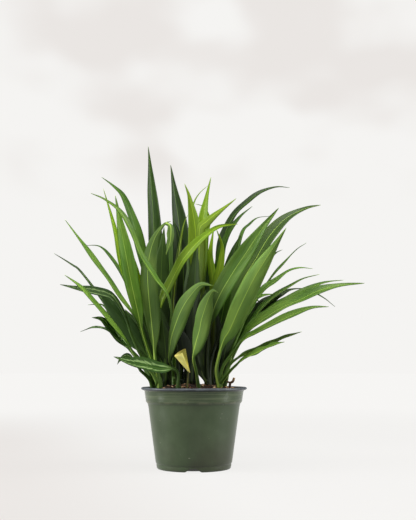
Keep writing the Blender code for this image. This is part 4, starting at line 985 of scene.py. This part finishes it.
pot_outline = [
    *beside(0.0, 0.0, (0.0, 0.0), (12.0, 0.0), (26.0, 0.0)),
    *beside(PAD_RADIUS, 0.0, (-1.0, 0.0), (0.4, 0.5)),
    *beside(PAD_RADIUS, GUTTER_HEIGHT, (3.0, -0.5), (4.2, 0.0)),
    *beside(FOOT_RADIUS, GUTTER_HEIGHT, (-7.0, 0.0), (-5.9, -0.6)),
    *beside(FOOT_RADIUS, 0.0, (-4.6, 0.7), (-4.1, 0.0), (-2.6, 0.0), (-1.6, 0.3), (-0.8, 1.1),
            (-0.3, 2.6), (-0.1, 4.6), (0.0, 6.6), (0.0, 7.5)),
    *beside(FOOT_RADIUS, FOOT_BAND, (0.2, 0.0), (0.8, 0.6), (1.15, 1.4)),
    *[(pot_radius(height), height) for height in (16.0, 26.0, 36.0, 46.0, 56.0, 66.0, 76.0, 86.0, 93.0)],
    *beside(BODY_TOP_RADIUS, LEDGE_HEIGHT, (-0.2, -4.0), (0.1, -2.2), (1.2, -1.0)),
    *beside(COLLAR_FOOT_RADIUS, LEDGE_HEIGHT, (-0.8, -0.1), (0.0, 0.9), (0.3, 2.6)),
    *beside(COLLAR_RADIUS, LIP_FOOT, (-1.0, -8.0), (-0.1, -2.4), (0.4, -0.9), (1.5, 0.1)),
    *beside(RIM_RADIUS, LIP_FOOT, (-1.8, 0.7), (-0.6, 1.3), (0.0, 2.2)),
    *beside(RIM_RADIUS, RIM_TOP, (-0.1, -1.3), (-0.7, -0.5), (-1.7, -0.05)),
    *beside(COLLAR_RADIUS, RIM_TOP, (2.4, 0.0), (0.3, -0.4)),
    *beside(COLLAR_RADIUS - WALL, RIM_TOP, (0.3, -1.4), (-0.1, -3.2)),
    (COLLAR_FOOT_RADIUS - WALL, LEDGE_HEIGHT + 1.0), (BODY_TOP_RADIUS - WALL, LEDGE_HEIGHT - 1.5),
    (pot_radius(55.0) - WALL, 55.0), (FOOT_RADIUS - WALL, FOOT_BAND + 1.2),
    (FOOT_RADIUS - 3.0, GUTTER_HEIGHT + 2.2), (PAD_RADIUS + 2.6, GUTTER_HEIGHT + 2.0),
    (PAD_RADIUS - 1.0, PAD_TOP), (0.0, PAD_TOP),
]
print("pot outline of", len(pot_outline), "points")

# %% [markdown]
# Spinning the outline in 144 steps makes the pot smooth even at its silhouette. `use_merge` closes the
# seam, and the points that meet on the axis are merged afterwards. Four arches are then pushed up into the
# foot ring.

# %% Spin the pot and raise its notches
NOTCH_WIDTH = 26.0
NOTCH_TOP = 8.0
NOTCH_HEIGHT = 5.6
FOOT_RING = 5.0

pot_mesh = spun_mesh(pot_outline, POT_STEPS)
for vert in pot_mesh.verts:
    off_middle = min(abs(vert.co.x), abs(vert.co.y))
    arch = NOTCH_HEIGHT * (1 - eased((off_middle - NOTCH_TOP / 2) / ((NOTCH_WIDTH - NOTCH_TOP) / 2)))
    if math.hypot(vert.co.x, vert.co.y) > FOOT_RADIUS - FOOT_RING and vert.co.z < arch:
        vert.co.z = arch
print("pot faces", len(pot_mesh.faces))

# %% [markdown]
# ## Pot plastic
# The plastic is dull olive green with a soft gloss. Its moulding left fine level lines round the collar,
# and handling left paler scuffs on the body and some dried soil low down. The ledge under the collar is
# rubbed pale. The rolled lip is bluer, and worn to a paler tone in places.

# %% Pot finish
POT_GREEN = paint(61, 77, 48)
POT_PALE = paint(80, 95, 67)
POT_BROWN = paint(50, 47, 32)
SPECK_PALE = paint(146, 150, 128)
RING_PALE = paint(122, 134, 98)
RUBBED_PALE = paint(128, 128, 98)
LIP_BLUE = paint(90, 97, 102)
POT_ROUGHNESS = 0.36
POT_GLOSS = 0.40
LINE_PITCH = 3300.0
SPLASH = (0.075, 0.015)
LEDGE_FROM = (0.0985, 0.1005)
LEDGE_TO = (0.1035, 0.1015)
COLLAR_START = (0.100, 0.104)
LIP_START = (0.1182, 0.1194)
POT_BUMP = 0.00006

pot_plastic, pot_shader, place = new_finish("pot_plastic", POT_ROUGHNESS, POT_GLOSS)
x, y, z = split(place)
on_collar = fade(z, *COLLAR_START)
on_lip = fade(z, *LIP_START)
cloud = mottle(place, 20.0, 4.0, 0.6)
scuffs = stretched(place, (60.0, 60.0, 9.0), 3.0)
low = times(fade(z, *SPLASH), fade(mottle(place, 14.0, 4.0), 0.38, 0.66))
specks = fade(mottle(place, 170.0, 1.0), 0.75, 0.80)
rings = fade(stretched(place, (12.0, 12.0, 660.0)), 0.42, 0.66)
ledge = times(fade(z, *LEDGE_FROM), fade(z, *LEDGE_TO))
rubbed = times(ledge, fade(mottle(place, 60.0, 3.0), 0.40, 0.60))
colour = tinted(POT_GREEN, POT_PALE, fade(cloud, 0.35, 0.70), 0.65)
for mask, strength, other in (
        (fade(scuffs, 0.55, 0.8), 0.35, POT_PALE), (low, 0.6, POT_BROWN), (specks, 0.45, SPECK_PALE),
        (times(rings, on_collar), 0.4, RING_PALE), (rubbed, 0.5, RUBBED_PALE)):
    colour = tinted(colour, other, mask, strength)
lip_wear = fade(mottle(place, 90.0, 3.0, 0.6), 0.36, 0.66)
colour = blended(on_lip, colour, blended(lip_wear, dimmed(LIP_BLUE, 0.55), LIP_BLUE))
dull = calc("SUBTRACT", calc("MULTIPLY_ADD", cloud, 0.22, 0.22), times(on_collar, 0.08))
feed(pot_shader.inputs["Roughness"], calc("ADD", dull, times(on_lip, 0.14)))
lines = times(calc("SINE", times(z, LINE_PITCH)), on_collar)
grain = mottle(place, 900.0, 2.0)
dress(pot_shader, colour, calc("ADD", times(lines, 0.5), times(grain, 0.6)), POT_BUMP)
print("pot plastic nodes", len(pot_plastic.node_tree.nodes))

# %% [markdown]
# Four drain holes are drilled through the gutter. A Boolean modifier does this with a tool of four
# cylinders, which is thrown away once its result has been kept.

# %% The pot as a piece
DRAIN_HOLES = 4
DRAIN_RADIUS = 3.2
DRAIN_DEPTH = 10.0
DRAIN_HEIGHT = 7.0
SHARP_EDGE = math.radians(50)

pot = finished_piece("pot_shell", pot_mesh, [pot_plastic], "pot")
drains = bmesh.new()
middle = (PAD_RADIUS + FOOT_RADIUS - 2.5) / 2
for hole in range(DRAIN_HOLES):
    angle = math.tau * (hole + 0.5) / DRAIN_HOLES
    spot = Matrix.Translation((middle * math.cos(angle), middle * math.sin(angle), DRAIN_HEIGHT))
    bmesh.ops.create_cone(drains, cap_ends=True, segments=24, radius1=DRAIN_RADIUS, radius2=DRAIN_RADIUS,
                          depth=DRAIN_DEPTH, matrix=spot)
bmesh.ops.scale(drains, vec=(MM, MM, MM), verts=drains.verts)
drain_tool = loose_object("drain_holes", drains)
cut = pot.modifiers.new("drain holes", "BOOLEAN")
cut.operation = "DIFFERENCE"
cut.solver = "EXACT"
cut.object = drain_tool
drilled = bpy.data.meshes.new_from_object(pot.evaluated_get(bpy.context.evaluated_depsgraph_get()))
pot.modifiers.clear()
pot.data = drilled
drilled.shade_smooth()
drilled.set_sharp_from_angle(angle=SHARP_EDGE)
bpy.data.objects.remove(drain_tool, do_unlink=True)
print("drilled pot faces", len(drilled.polygons))

# %% [markdown]
# ## Soil
# Potting soil is a dark, uneven mix of peat and bark. Its body is an outline spun to fit inside the pot,
# with a top of fine rings whose points are lifted by several layers of noise. Loose crumbs and bark chips
# lie on it. Each is a small ball of twenty faces, squashed and turned at random, so hundreds of them stay
# light.

# %% Soil body
SOIL_EDGE = 118.0
SOIL_CROWN = 127.0
SOIL_GRAINS = ((2.2, 9.0, 0.5), (1.1, 4.0, 7.5), (0.8, 1.7, 3.1))
SOIL_STEPS = 120
SOIL_RINGS = 44
GAP = 0.3
EDGE_RADIUS = COLLAR_FOOT_RADIUS - WALL - GAP + 1.2


def soil_height(x, y):
    """Mounded and crumbly, lower at the wall, as the solid is, with finer crumbs on it."""
    radius = math.hypot(x, y) / (COLLAR_RADIUS - WALL)
    mound = SOIL_EDGE + (SOIL_CROWN - SOIL_EDGE) * (1 - radius ** 2)
    rough = sum(weight * noise.noise(Vector((x / size, y / size, layer)))
                for weight, size, layer in SOIL_GRAINS)
    return mound + rough * (1 - radius ** 6)


soil_outline = [
    (0.0, PAD_TOP + GAP), (PAD_RADIUS - 1.4, PAD_TOP + GAP), (PAD_RADIUS + 2.4, GUTTER_HEIGHT + 2.0 + GAP),
    (FOOT_RADIUS - 3.4, GUTTER_HEIGHT + 2.2 + GAP), (FOOT_RADIUS - WALL - GAP, FOOT_BAND + 1.6),
    (pot_radius(55.0) - WALL - GAP, 55.0), (BODY_TOP_RADIUS - WALL - GAP - 0.1, LEDGE_HEIGHT - 1.0),
    (COLLAR_FOOT_RADIUS - WALL - GAP - 0.1, LEDGE_HEIGHT + 1.5),
]
soil_outline += [(EDGE_RADIUS * (1 - step / SOIL_RINGS), SOIL_EDGE) for step in range(SOIL_RINGS + 1)]
soil_mesh = spun_mesh(soil_outline, SOIL_STEPS)
for vert in soil_mesh.verts:
    if vert.co.z > SOIL_EDGE - 0.01:
        vert.co.z = soil_height(vert.co.x, vert.co.y)
print("soil faces", len(soil_mesh.faces))

# %% Crumbs and bark chips
CRUMBS = 620
CHIP_EVERY = 6
CHIP_LENGTH = (4.0, 8.5)
CHIP_TINTS = (0.45, 1.0)
CRUMB_LENGTH = (1.4, 3.6)
CRUMB_TINTS = (0.0, 0.55)
CRUMB_RISE = 0.08
CRUMB_TINT = "crumb_tint"
FRONT_CHIPS = ((-52, -20), (-47, -8), (-39, -33), (-32, -37), (-26, -28), (-15, -47), (14, -38), (31, -46))
FRONT_LIFT = 1.8
chips = random.Random(5)
crumb_mesh = bmesh.new()
tint_layer = crumb_mesh.verts.layers.float.new(CRUMB_TINT)


def add_crumb(x, y, length, tint, lift):
    """One squashed, turned ball lying on the soil."""
    ball = bmesh.ops.create_icosphere(crumb_mesh, subdivisions=1, radius=0.5)["verts"]
    bmesh.ops.scale(crumb_mesh, verts=ball,
                    vec=(length, length * chips.uniform(0.4, 0.75), length * chips.uniform(0.25, 0.5)))
    for vert in ball:
        vert.co *= chips.uniform(0.8, 1.2)
        vert[tint_layer] = tint
    turn = Matrix.Rotation(chips.uniform(0, math.tau), 3, "Z")
    turn = turn @ Matrix.Rotation(chips.uniform(-0.6, 0.6), 3, "X")
    bmesh.ops.rotate(crumb_mesh, verts=ball, cent=(0, 0, 0), matrix=turn)
    bmesh.ops.translate(crumb_mesh, verts=ball, vec=(x, y, soil_height(x, y) + lift))


for number in range(CRUMBS):
    chip = number % CHIP_EVERY == 0
    angle = chips.uniform(0.0, math.tau)
    radius = (EDGE_RADIUS - 3.0) * math.sqrt(chips.random())
    length = chips.uniform(*(CHIP_LENGTH if chip else CRUMB_LENGTH))
    tint = chips.uniform(*(CHIP_TINTS if chip else CRUMB_TINTS))
    add_crumb(radius * math.cos(angle), radius * math.sin(angle), length, tint, length * CRUMB_RISE)
for x, y in FRONT_CHIPS:
    add_crumb(x, y, chips.uniform(5.5, 8.0), chips.uniform(0.8, 1.0), FRONT_LIFT)
print("crumbs and chips", CRUMBS + len(FRONT_CHIPS))

# %% [markdown]
# The soil's finish is almost black with brown patches and a coarse, dull grain. The crumbs share it, but
# each carries a tint from black-brown over red-brown to the tan of split bark.

# %% Soil finishes
CRUMB_SHADES = ((0.35, (52, 34, 24)), (0.6, (104, 66, 42)), (0.82, (160, 120, 84)))

potting_mix, soil_shader, place = new_finish("potting_mix", 0.95, 0.2)
lumps = fade(mottle(place, 160.0, 5.0, 0.7), 0.35, 0.7)
peat = blended(lumps, paint(22, 17, 14), paint(62, 44, 30))
dress(soil_shader, peat, mottle(place, 700.0, 4.0, 0.7), 0.0012)

bark_chips, bark_shader, place = new_finish("bark_chips", 0.9, 0.25)
nodes = bark_chips.node_tree.nodes
tint = nodes.new("ShaderNodeAttribute")
tint.attribute_name = CRUMB_TINT
ramp = nodes.new("ShaderNodeValToRGB")
stops = ramp.color_ramp.elements
stops[0].color = paint(24, 18, 15)
stops[1].color = paint(206, 178, 140)
for position, shade in CRUMB_SHADES:
    stops.new(position).color = paint(*shade)
feed(ramp.inputs["Fac"], tint.outputs["Fac"])
fibre = mottle(place, 800.0, 4.0, 0.7)
bark = shaded(ramp.outputs["Color"], calc("MULTIPLY_ADD", fibre, 0.9, 0.5))
dress(bark_shader, bark, fibre, 0.0008)

soil = finished_piece("soil_bed", soil_mesh, [potting_mix], "soil")
crumbs = finished_piece("soil_crumbs", crumb_mesh, [bark_chips], "soil")
crumbs.data.shade_flat()
print("soil pieces", soil.name, crumbs.name)

# %% [markdown]
# ## The withered leaf
# One small leaf at the front has dried to yellow. As it shrank it curled round its length like a paper
# funnel. It is a grid again, its columns laid round a half cone that opens towards the mouth, on a thin
# stalk.

# %% Withered leaf
WITHERED_STEM = (-9, -54)
WITHERED_NECK = (-7, 145)
WITHERED_MOUTH = (-22, 176)
WITHERED_LENGTH = 36.0
NECK_RADIUS = 0.9
MOUTH_RADIUS = 10.0
WITHERED_CURL = math.radians(140)
WITHERED_TURN = math.radians(60)
WITHERED_COLUMNS = 20
WITHERED_ROWS = 18
WITHERED_WALL = 0.5
WITHERED_STALK = 1.5
MOUTH_SLANT = (0.22, -0.12)
MOUTH_FORM = (0.98, 0.55)

neck = along_sight(*WITHERED_NECK, WITHERED_STEM[1])
mouth = along_sight(*WITHERED_MOUTH, WITHERED_STEM[1])
along = (mouth - neck).normalized()
across = along.cross(Vector((0.0, 1.0, 0.0))).normalized()
away = across.cross(along).normalized()
withered_mesh = bmesh.new()
layers = leaf_layers(withered_mesh)
grid = bmesh.ops.create_grid(withered_mesh, x_segments=WITHERED_COLUMNS, y_segments=WITHERED_ROWS, size=0.5)
for vert in grid["verts"]:
    column, share = vert.co.x * 2, vert.co.y + 0.5
    radius = NECK_RADIUS + (MOUTH_RADIUS - NECK_RADIUS) * share ** 1.1
    angle = WITHERED_TURN + WITHERED_CURL * column
    crinkle = 0.5 * share * noise.noise(Vector((column * 3.0, share * 4.0, 1.7)))
    slant = radius * share * (MOUTH_SLANT[0] * math.cos(angle) + MOUTH_SLANT[1] * math.sin(angle))
    reach = radius + crinkle
    ring = across * math.sin(angle) * MOUTH_FORM[0] + away * math.cos(angle) * MOUTH_FORM[1]
    vert.co = neck + along * ((mouth - neck).length * share + slant) + ring * reach
    vert[layers[0]] = (column * radius, share * WITHERED_LENGTH, 0.4)
    vert[layers[1]] = (abs(column), share, radius)
print("withered leaf faces", len(withered_mesh.faces))

# %% [markdown]
# Thin stalks and stubs are tubes: a ring is swept along a few points. `bridge_loops` joins each ring to the
# next, which leaves a clean skin with no faces inside.

# %% Helper: sweep a tube


def sweep_tube(bm, points, radius, thinning, sides):
    """Bridges rings set along the points, the last one thinner by a share, and closes both ends."""
    last = len(points) - 1
    loops = []
    for index, point in enumerate(points):
        before, after = points[max(index - 1, 0)], points[min(index + 1, last)]
        turn = Vector((0, 0, 1)).rotation_difference((after - before).normalized()).to_matrix().to_4x4()
        circle = bmesh.ops.create_circle(bm, cap_ends=False, segments=sides,
                                         radius=radius * (1 - thinning * index / last),
                                         matrix=Matrix.Translation(point) @ turn)["verts"]
        loops.append(list({edge for vert in circle for edge in vert.link_edges}))
    faces = []
    for low_loop, high_loop in zip(loops, loops[1:]):
        faces += bmesh.ops.bridge_loops(bm, edges=low_loop + high_loop)["faces"]
    for end in (loops[0], loops[-1]):
        faces += bmesh.ops.holes_fill(bm, edges=end, sides=sides)["faces"]
    bmesh.ops.recalc_face_normals(bm, faces=faces)


# %% Withered leaf and its stalk as pieces
foot = Vector((*WITHERED_STEM, STEM_FOOT))
stalk_curve = smooth_curve([foot, foot + Vector((0.0, 0.0, 27.0)), neck + along * 3.0])
withered_stalk_mesh = bmesh.new()
sweep_tube(withered_stalk_mesh, even_points(stalk_curve, 16), WITHERED_STALK, 0.3, 10)

leaf_withered, withered_shader, place = new_finish("leaf_withered", 0.6, 0.25)
leaf_place = attribute(place, ACROSS_ATTRIBUTE)
across_mm = split(leaf_place)[0]
share = split(attribute(place, SHARE_ATTRIBUTE))[1]
fine = stretched(leaf_place, (0.8, 0.08, 0.0), 3.0, shift=(0.0, 0.0, 3.0))
colour = blended(fine, paint(250, 232, 96), paint(255, 252, 168))
# One side of the curl turns olive: partly the dried leaf's own colour, partly painted shade on the inner
# fold.
colour = tinted(colour, paint(128, 124, 42), fade(across_mm, -1.0, -5.5), 0.9)
colour = tinted(colour, paint(150, 112, 52), fade(share, 0.93, 1.0), 0.4)
dress(withered_shader, colour, fine, 0.0004)
withered = finished_piece("withered_leaf_funnel", withered_mesh, [leaf_withered], "withered_leaf")
thickened(withered, WITHERED_WALL, 0.0)
dry_stalk, dry_stalk_shader, place = new_finish("dry_stalk", 0.7, 0.2)
fibres = mottle(place, 500.0, 3.0)
dress(dry_stalk_shader, blended(fibres, paint(44, 44, 18), paint(92, 92, 40)), fibres, 0.0004)
withered_stalk = finished_piece("withered_leaf_stalk", withered_stalk_mesh, [dry_stalk], "withered_leaf")
print("withered leaf", withered.name, withered_stalk.name)

# %% [markdown]
# ## The dry stub
# Beside the right-hand stalks an old stem has dried to a bent brown stub with the scar of a side shoot. It
# is a tube whose rings are roughened by noise, finished like weathered bark.

# %% Dry stub
STUB_PLACE = (55, -24)
STUB_RADIUS = 2.4
STUB_HEIGHT = 27.0
STUB_BARK = 0.35
SCAR_RADIUS = 1.6

foot = Vector((*STUB_PLACE, STEM_FOOT))
bend = foot + Vector((0.0, 0.0, STUB_HEIGHT))
stub_curve = smooth_curve([foot, bend, bend + Vector((4.5, 0.0, 5.0)), bend + Vector((6.5, -1.0, 10.5))])
stub_mesh = bmesh.new()
sweep_tube(stub_mesh, even_points(stub_curve, 26), STUB_RADIUS, 0.25, 14)
scar_points = [bend + Vector((1.0, 0.0, 3.0)).lerp(Vector((-5.0, -1.5, 5.0)), step / 6)
               for step in range(7)]
sweep_tube(stub_mesh, scar_points, SCAR_RADIUS, 0.2, 12)
for vert in stub_mesh.verts:
    vert.co += vert.normal * STUB_BARK * noise.noise(vert.co * 0.55)

dry_stem, stub_shader, place = new_finish("dry_stem", 0.85, 0.25)
grain = stretched(place, (900.0, 900.0, 160.0), 4.0, 0.7)
colour = blended(fade(grain, 0.3, 0.7), paint(86, 56, 30), paint(196, 160, 112))
colour = blended(fade(split(place)[2], 0.136, 0.130), colour, paint(60, 40, 26))
dress(stub_shader, colour, grain, 0.0008)
stub = finished_piece("dry_stem_stub", stub_mesh, [dry_stem], "dry_stub")
print("dry stub faces", len(stub.data.polygons))

# %% [markdown]
# ## Floor and backdrop
# The photograph has an even, nearly white ground with no horizon and hardly a shadow. A wide pale floor
# gives the soft contact shadow, and far from the plant it turns into plain light of the same brightness as
# the sky around it, so no line shows where it ends. A faint painted shadow darkens the floor at the front
# left and the backdrop high at the left. Both are stage, not part of the plant.

# %% Floor and backdrop
GROUND = paint(245, 244, 242)
SHADE = paint(234, 230, 227)
FLOOR_GLOW = 0.893
FLOOR_RADIUS = 12.0
FLOOR_FADE = (0.5, 2.0)
CLOUD_SHIFT = 3.7

floor_mesh = bmesh.new()
bmesh.ops.create_circle(floor_mesh, cap_ends=True, segments=64, radius=FLOOR_RADIUS)
floor = loose_object("floor", floor_mesh)
floor.visible_diffuse = False
floor_paint, floor_shader, place = new_finish("floor_paint", 0.9, 0.1)
floor.data.materials.append(floor_paint)
distance = step_of("ShaderNodeVectorMath", place, operation="LENGTH").outputs["Value"]
x, y, z = split(place)
near_tone = blended(mottle(place, 3.0, 2.0), paint(62, 61, 60), paint(68, 67, 66))
far = fade(distance, *FLOOR_FADE)
feed(floor_shader.inputs["Base Color"], blended(far, near_tone, BLACK))
# Painted shadow: a faint darker tone on the floor, towards the front left and under the pot.
corner = times(fade(calc("MULTIPLY_ADD", y, 0.25, x), 0.02, -0.32), fade(y, 1.6, 0.2))
corner = times(corner, fade(distance, 2.6, 1.5))
feed(floor_shader.inputs["Emission Color"], blended(corner, GROUND, SHADE))
feed(floor_shader.inputs["Emission Strength"], calc("MULTIPLY_ADD", far, 1.0 - FLOOR_GLOW, FLOOR_GLOW))

dome_mesh = bmesh.new()
bmesh.ops.create_uvsphere(dome_mesh, u_segments=48, v_segments=24, radius=FLOOR_RADIUS - 0.1)
backdrop = loose_object("backdrop", dome_mesh)
for ray in ("visible_diffuse", "visible_glossy", "visible_transmission", "visible_shadow"):
    setattr(backdrop, ray, False)
backdrop_light, backdrop_shader, place = new_finish("backdrop_light", 1.0, 0.0)
backdrop.data.materials.append(backdrop_light)
x, y, z = split(place)
# Painted shadow: soft cloud-shaped patches of a darker tone, high at the left of the backdrop.
drift = stretched(place, (0.62, 0.0, 0.95), 1.5, shift=(0.0, CLOUD_SHIFT, 0.0))
high_left = times(fade(z, 2.5, 3.3), fade(x, -3.4, -2.2))
cloud = times(fade(drift, 0.36, 0.60), high_left)
feed(backdrop_shader.inputs["Base Color"], BLACK)
feed(backdrop_shader.inputs["Emission Color"], blended(cloud, GROUND, SHADE))
feed(backdrop_shader.inputs["Emission Strength"], 1.0)
print("stage:", floor.name, backdrop.name)

# %% [markdown]
# ## Light
# Soft daylight fills the room, so the world gives an even light. Large soft lamps at the left and the right
# put the long pale gleams on the pot's sides, one above models the arching leaves, a small one near the
# camera gives the glint on the lip, and a weak one low at the left opens up the shaded leaves there. Two
# narrow strips stand beside the pot at its own height, and give the collar its short upright gleams.

# %% Lamps and sky
AIM = Vector((0.0, 0.0, 0.22))
LAMPS = {
    "window_left": ((-1.9, -0.30, 0.85), (0.7, 1.5), 30.0),
    "window_right": ((1.9, -0.10, 0.85), (0.7, 1.5), 26.0),
    "softbox_above": ((0.0, -0.65, 1.9), (1.2, 0.9), 26.0),
    "lamp_by_camera": ((-0.1, -2.2, 1.1), (0.35, 0.35), 8.0),
    "low_fill": ((-1.2, -1.5, 0.30), (0.9, 0.5), 5.0),
    "strip_left": ((-0.75, -0.13, 0.10), (0.07, 0.22), 1.1),
    "strip_right": ((0.75, -0.17, 0.10), (0.06, 0.22), 1.0),
}
for name, (spot, size, power) in LAMPS.items():
    light = bpy.data.lights.new(name, "AREA")
    light.shape = "RECTANGLE"
    light.size, light.size_y = size
    light.energy = power
    lamp = placed(name, light)
    lamp.location = spot
    lamp.rotation_euler = (AIM - Vector(spot)).to_track_quat("-Z", "Y").to_euler()
    lamp.visible_camera = False

SKY_STRENGTH = 0.5
SKY_LOW = (0.03, 0.03, 0.03, 1.0)
SKY_HIGH = (1.0, 0.99, 0.97, 1.0)
sky = bpy.data.worlds.new("soft_daylight")
sky.use_nodes = True
nodes = sky.node_tree.nodes
up = split(nodes.new("ShaderNodeTexCoord").outputs["Generated"])[2]
shade = blended(fade(up, -0.1, 0.9), SKY_LOW, SKY_HIGH)
feed(nodes["Background"].inputs["Color"], shade)
feed(nodes["Background"].inputs["Strength"], SKY_STRENGTH)
bpy.context.scene.world = sky
print("lamps", len(LAMPS), "sky", SKY_STRENGTH)

# %% [markdown]
# ## Finish
# The scene is brought up to date at the end.

# %% Finish
bpy.context.view_layer.update()
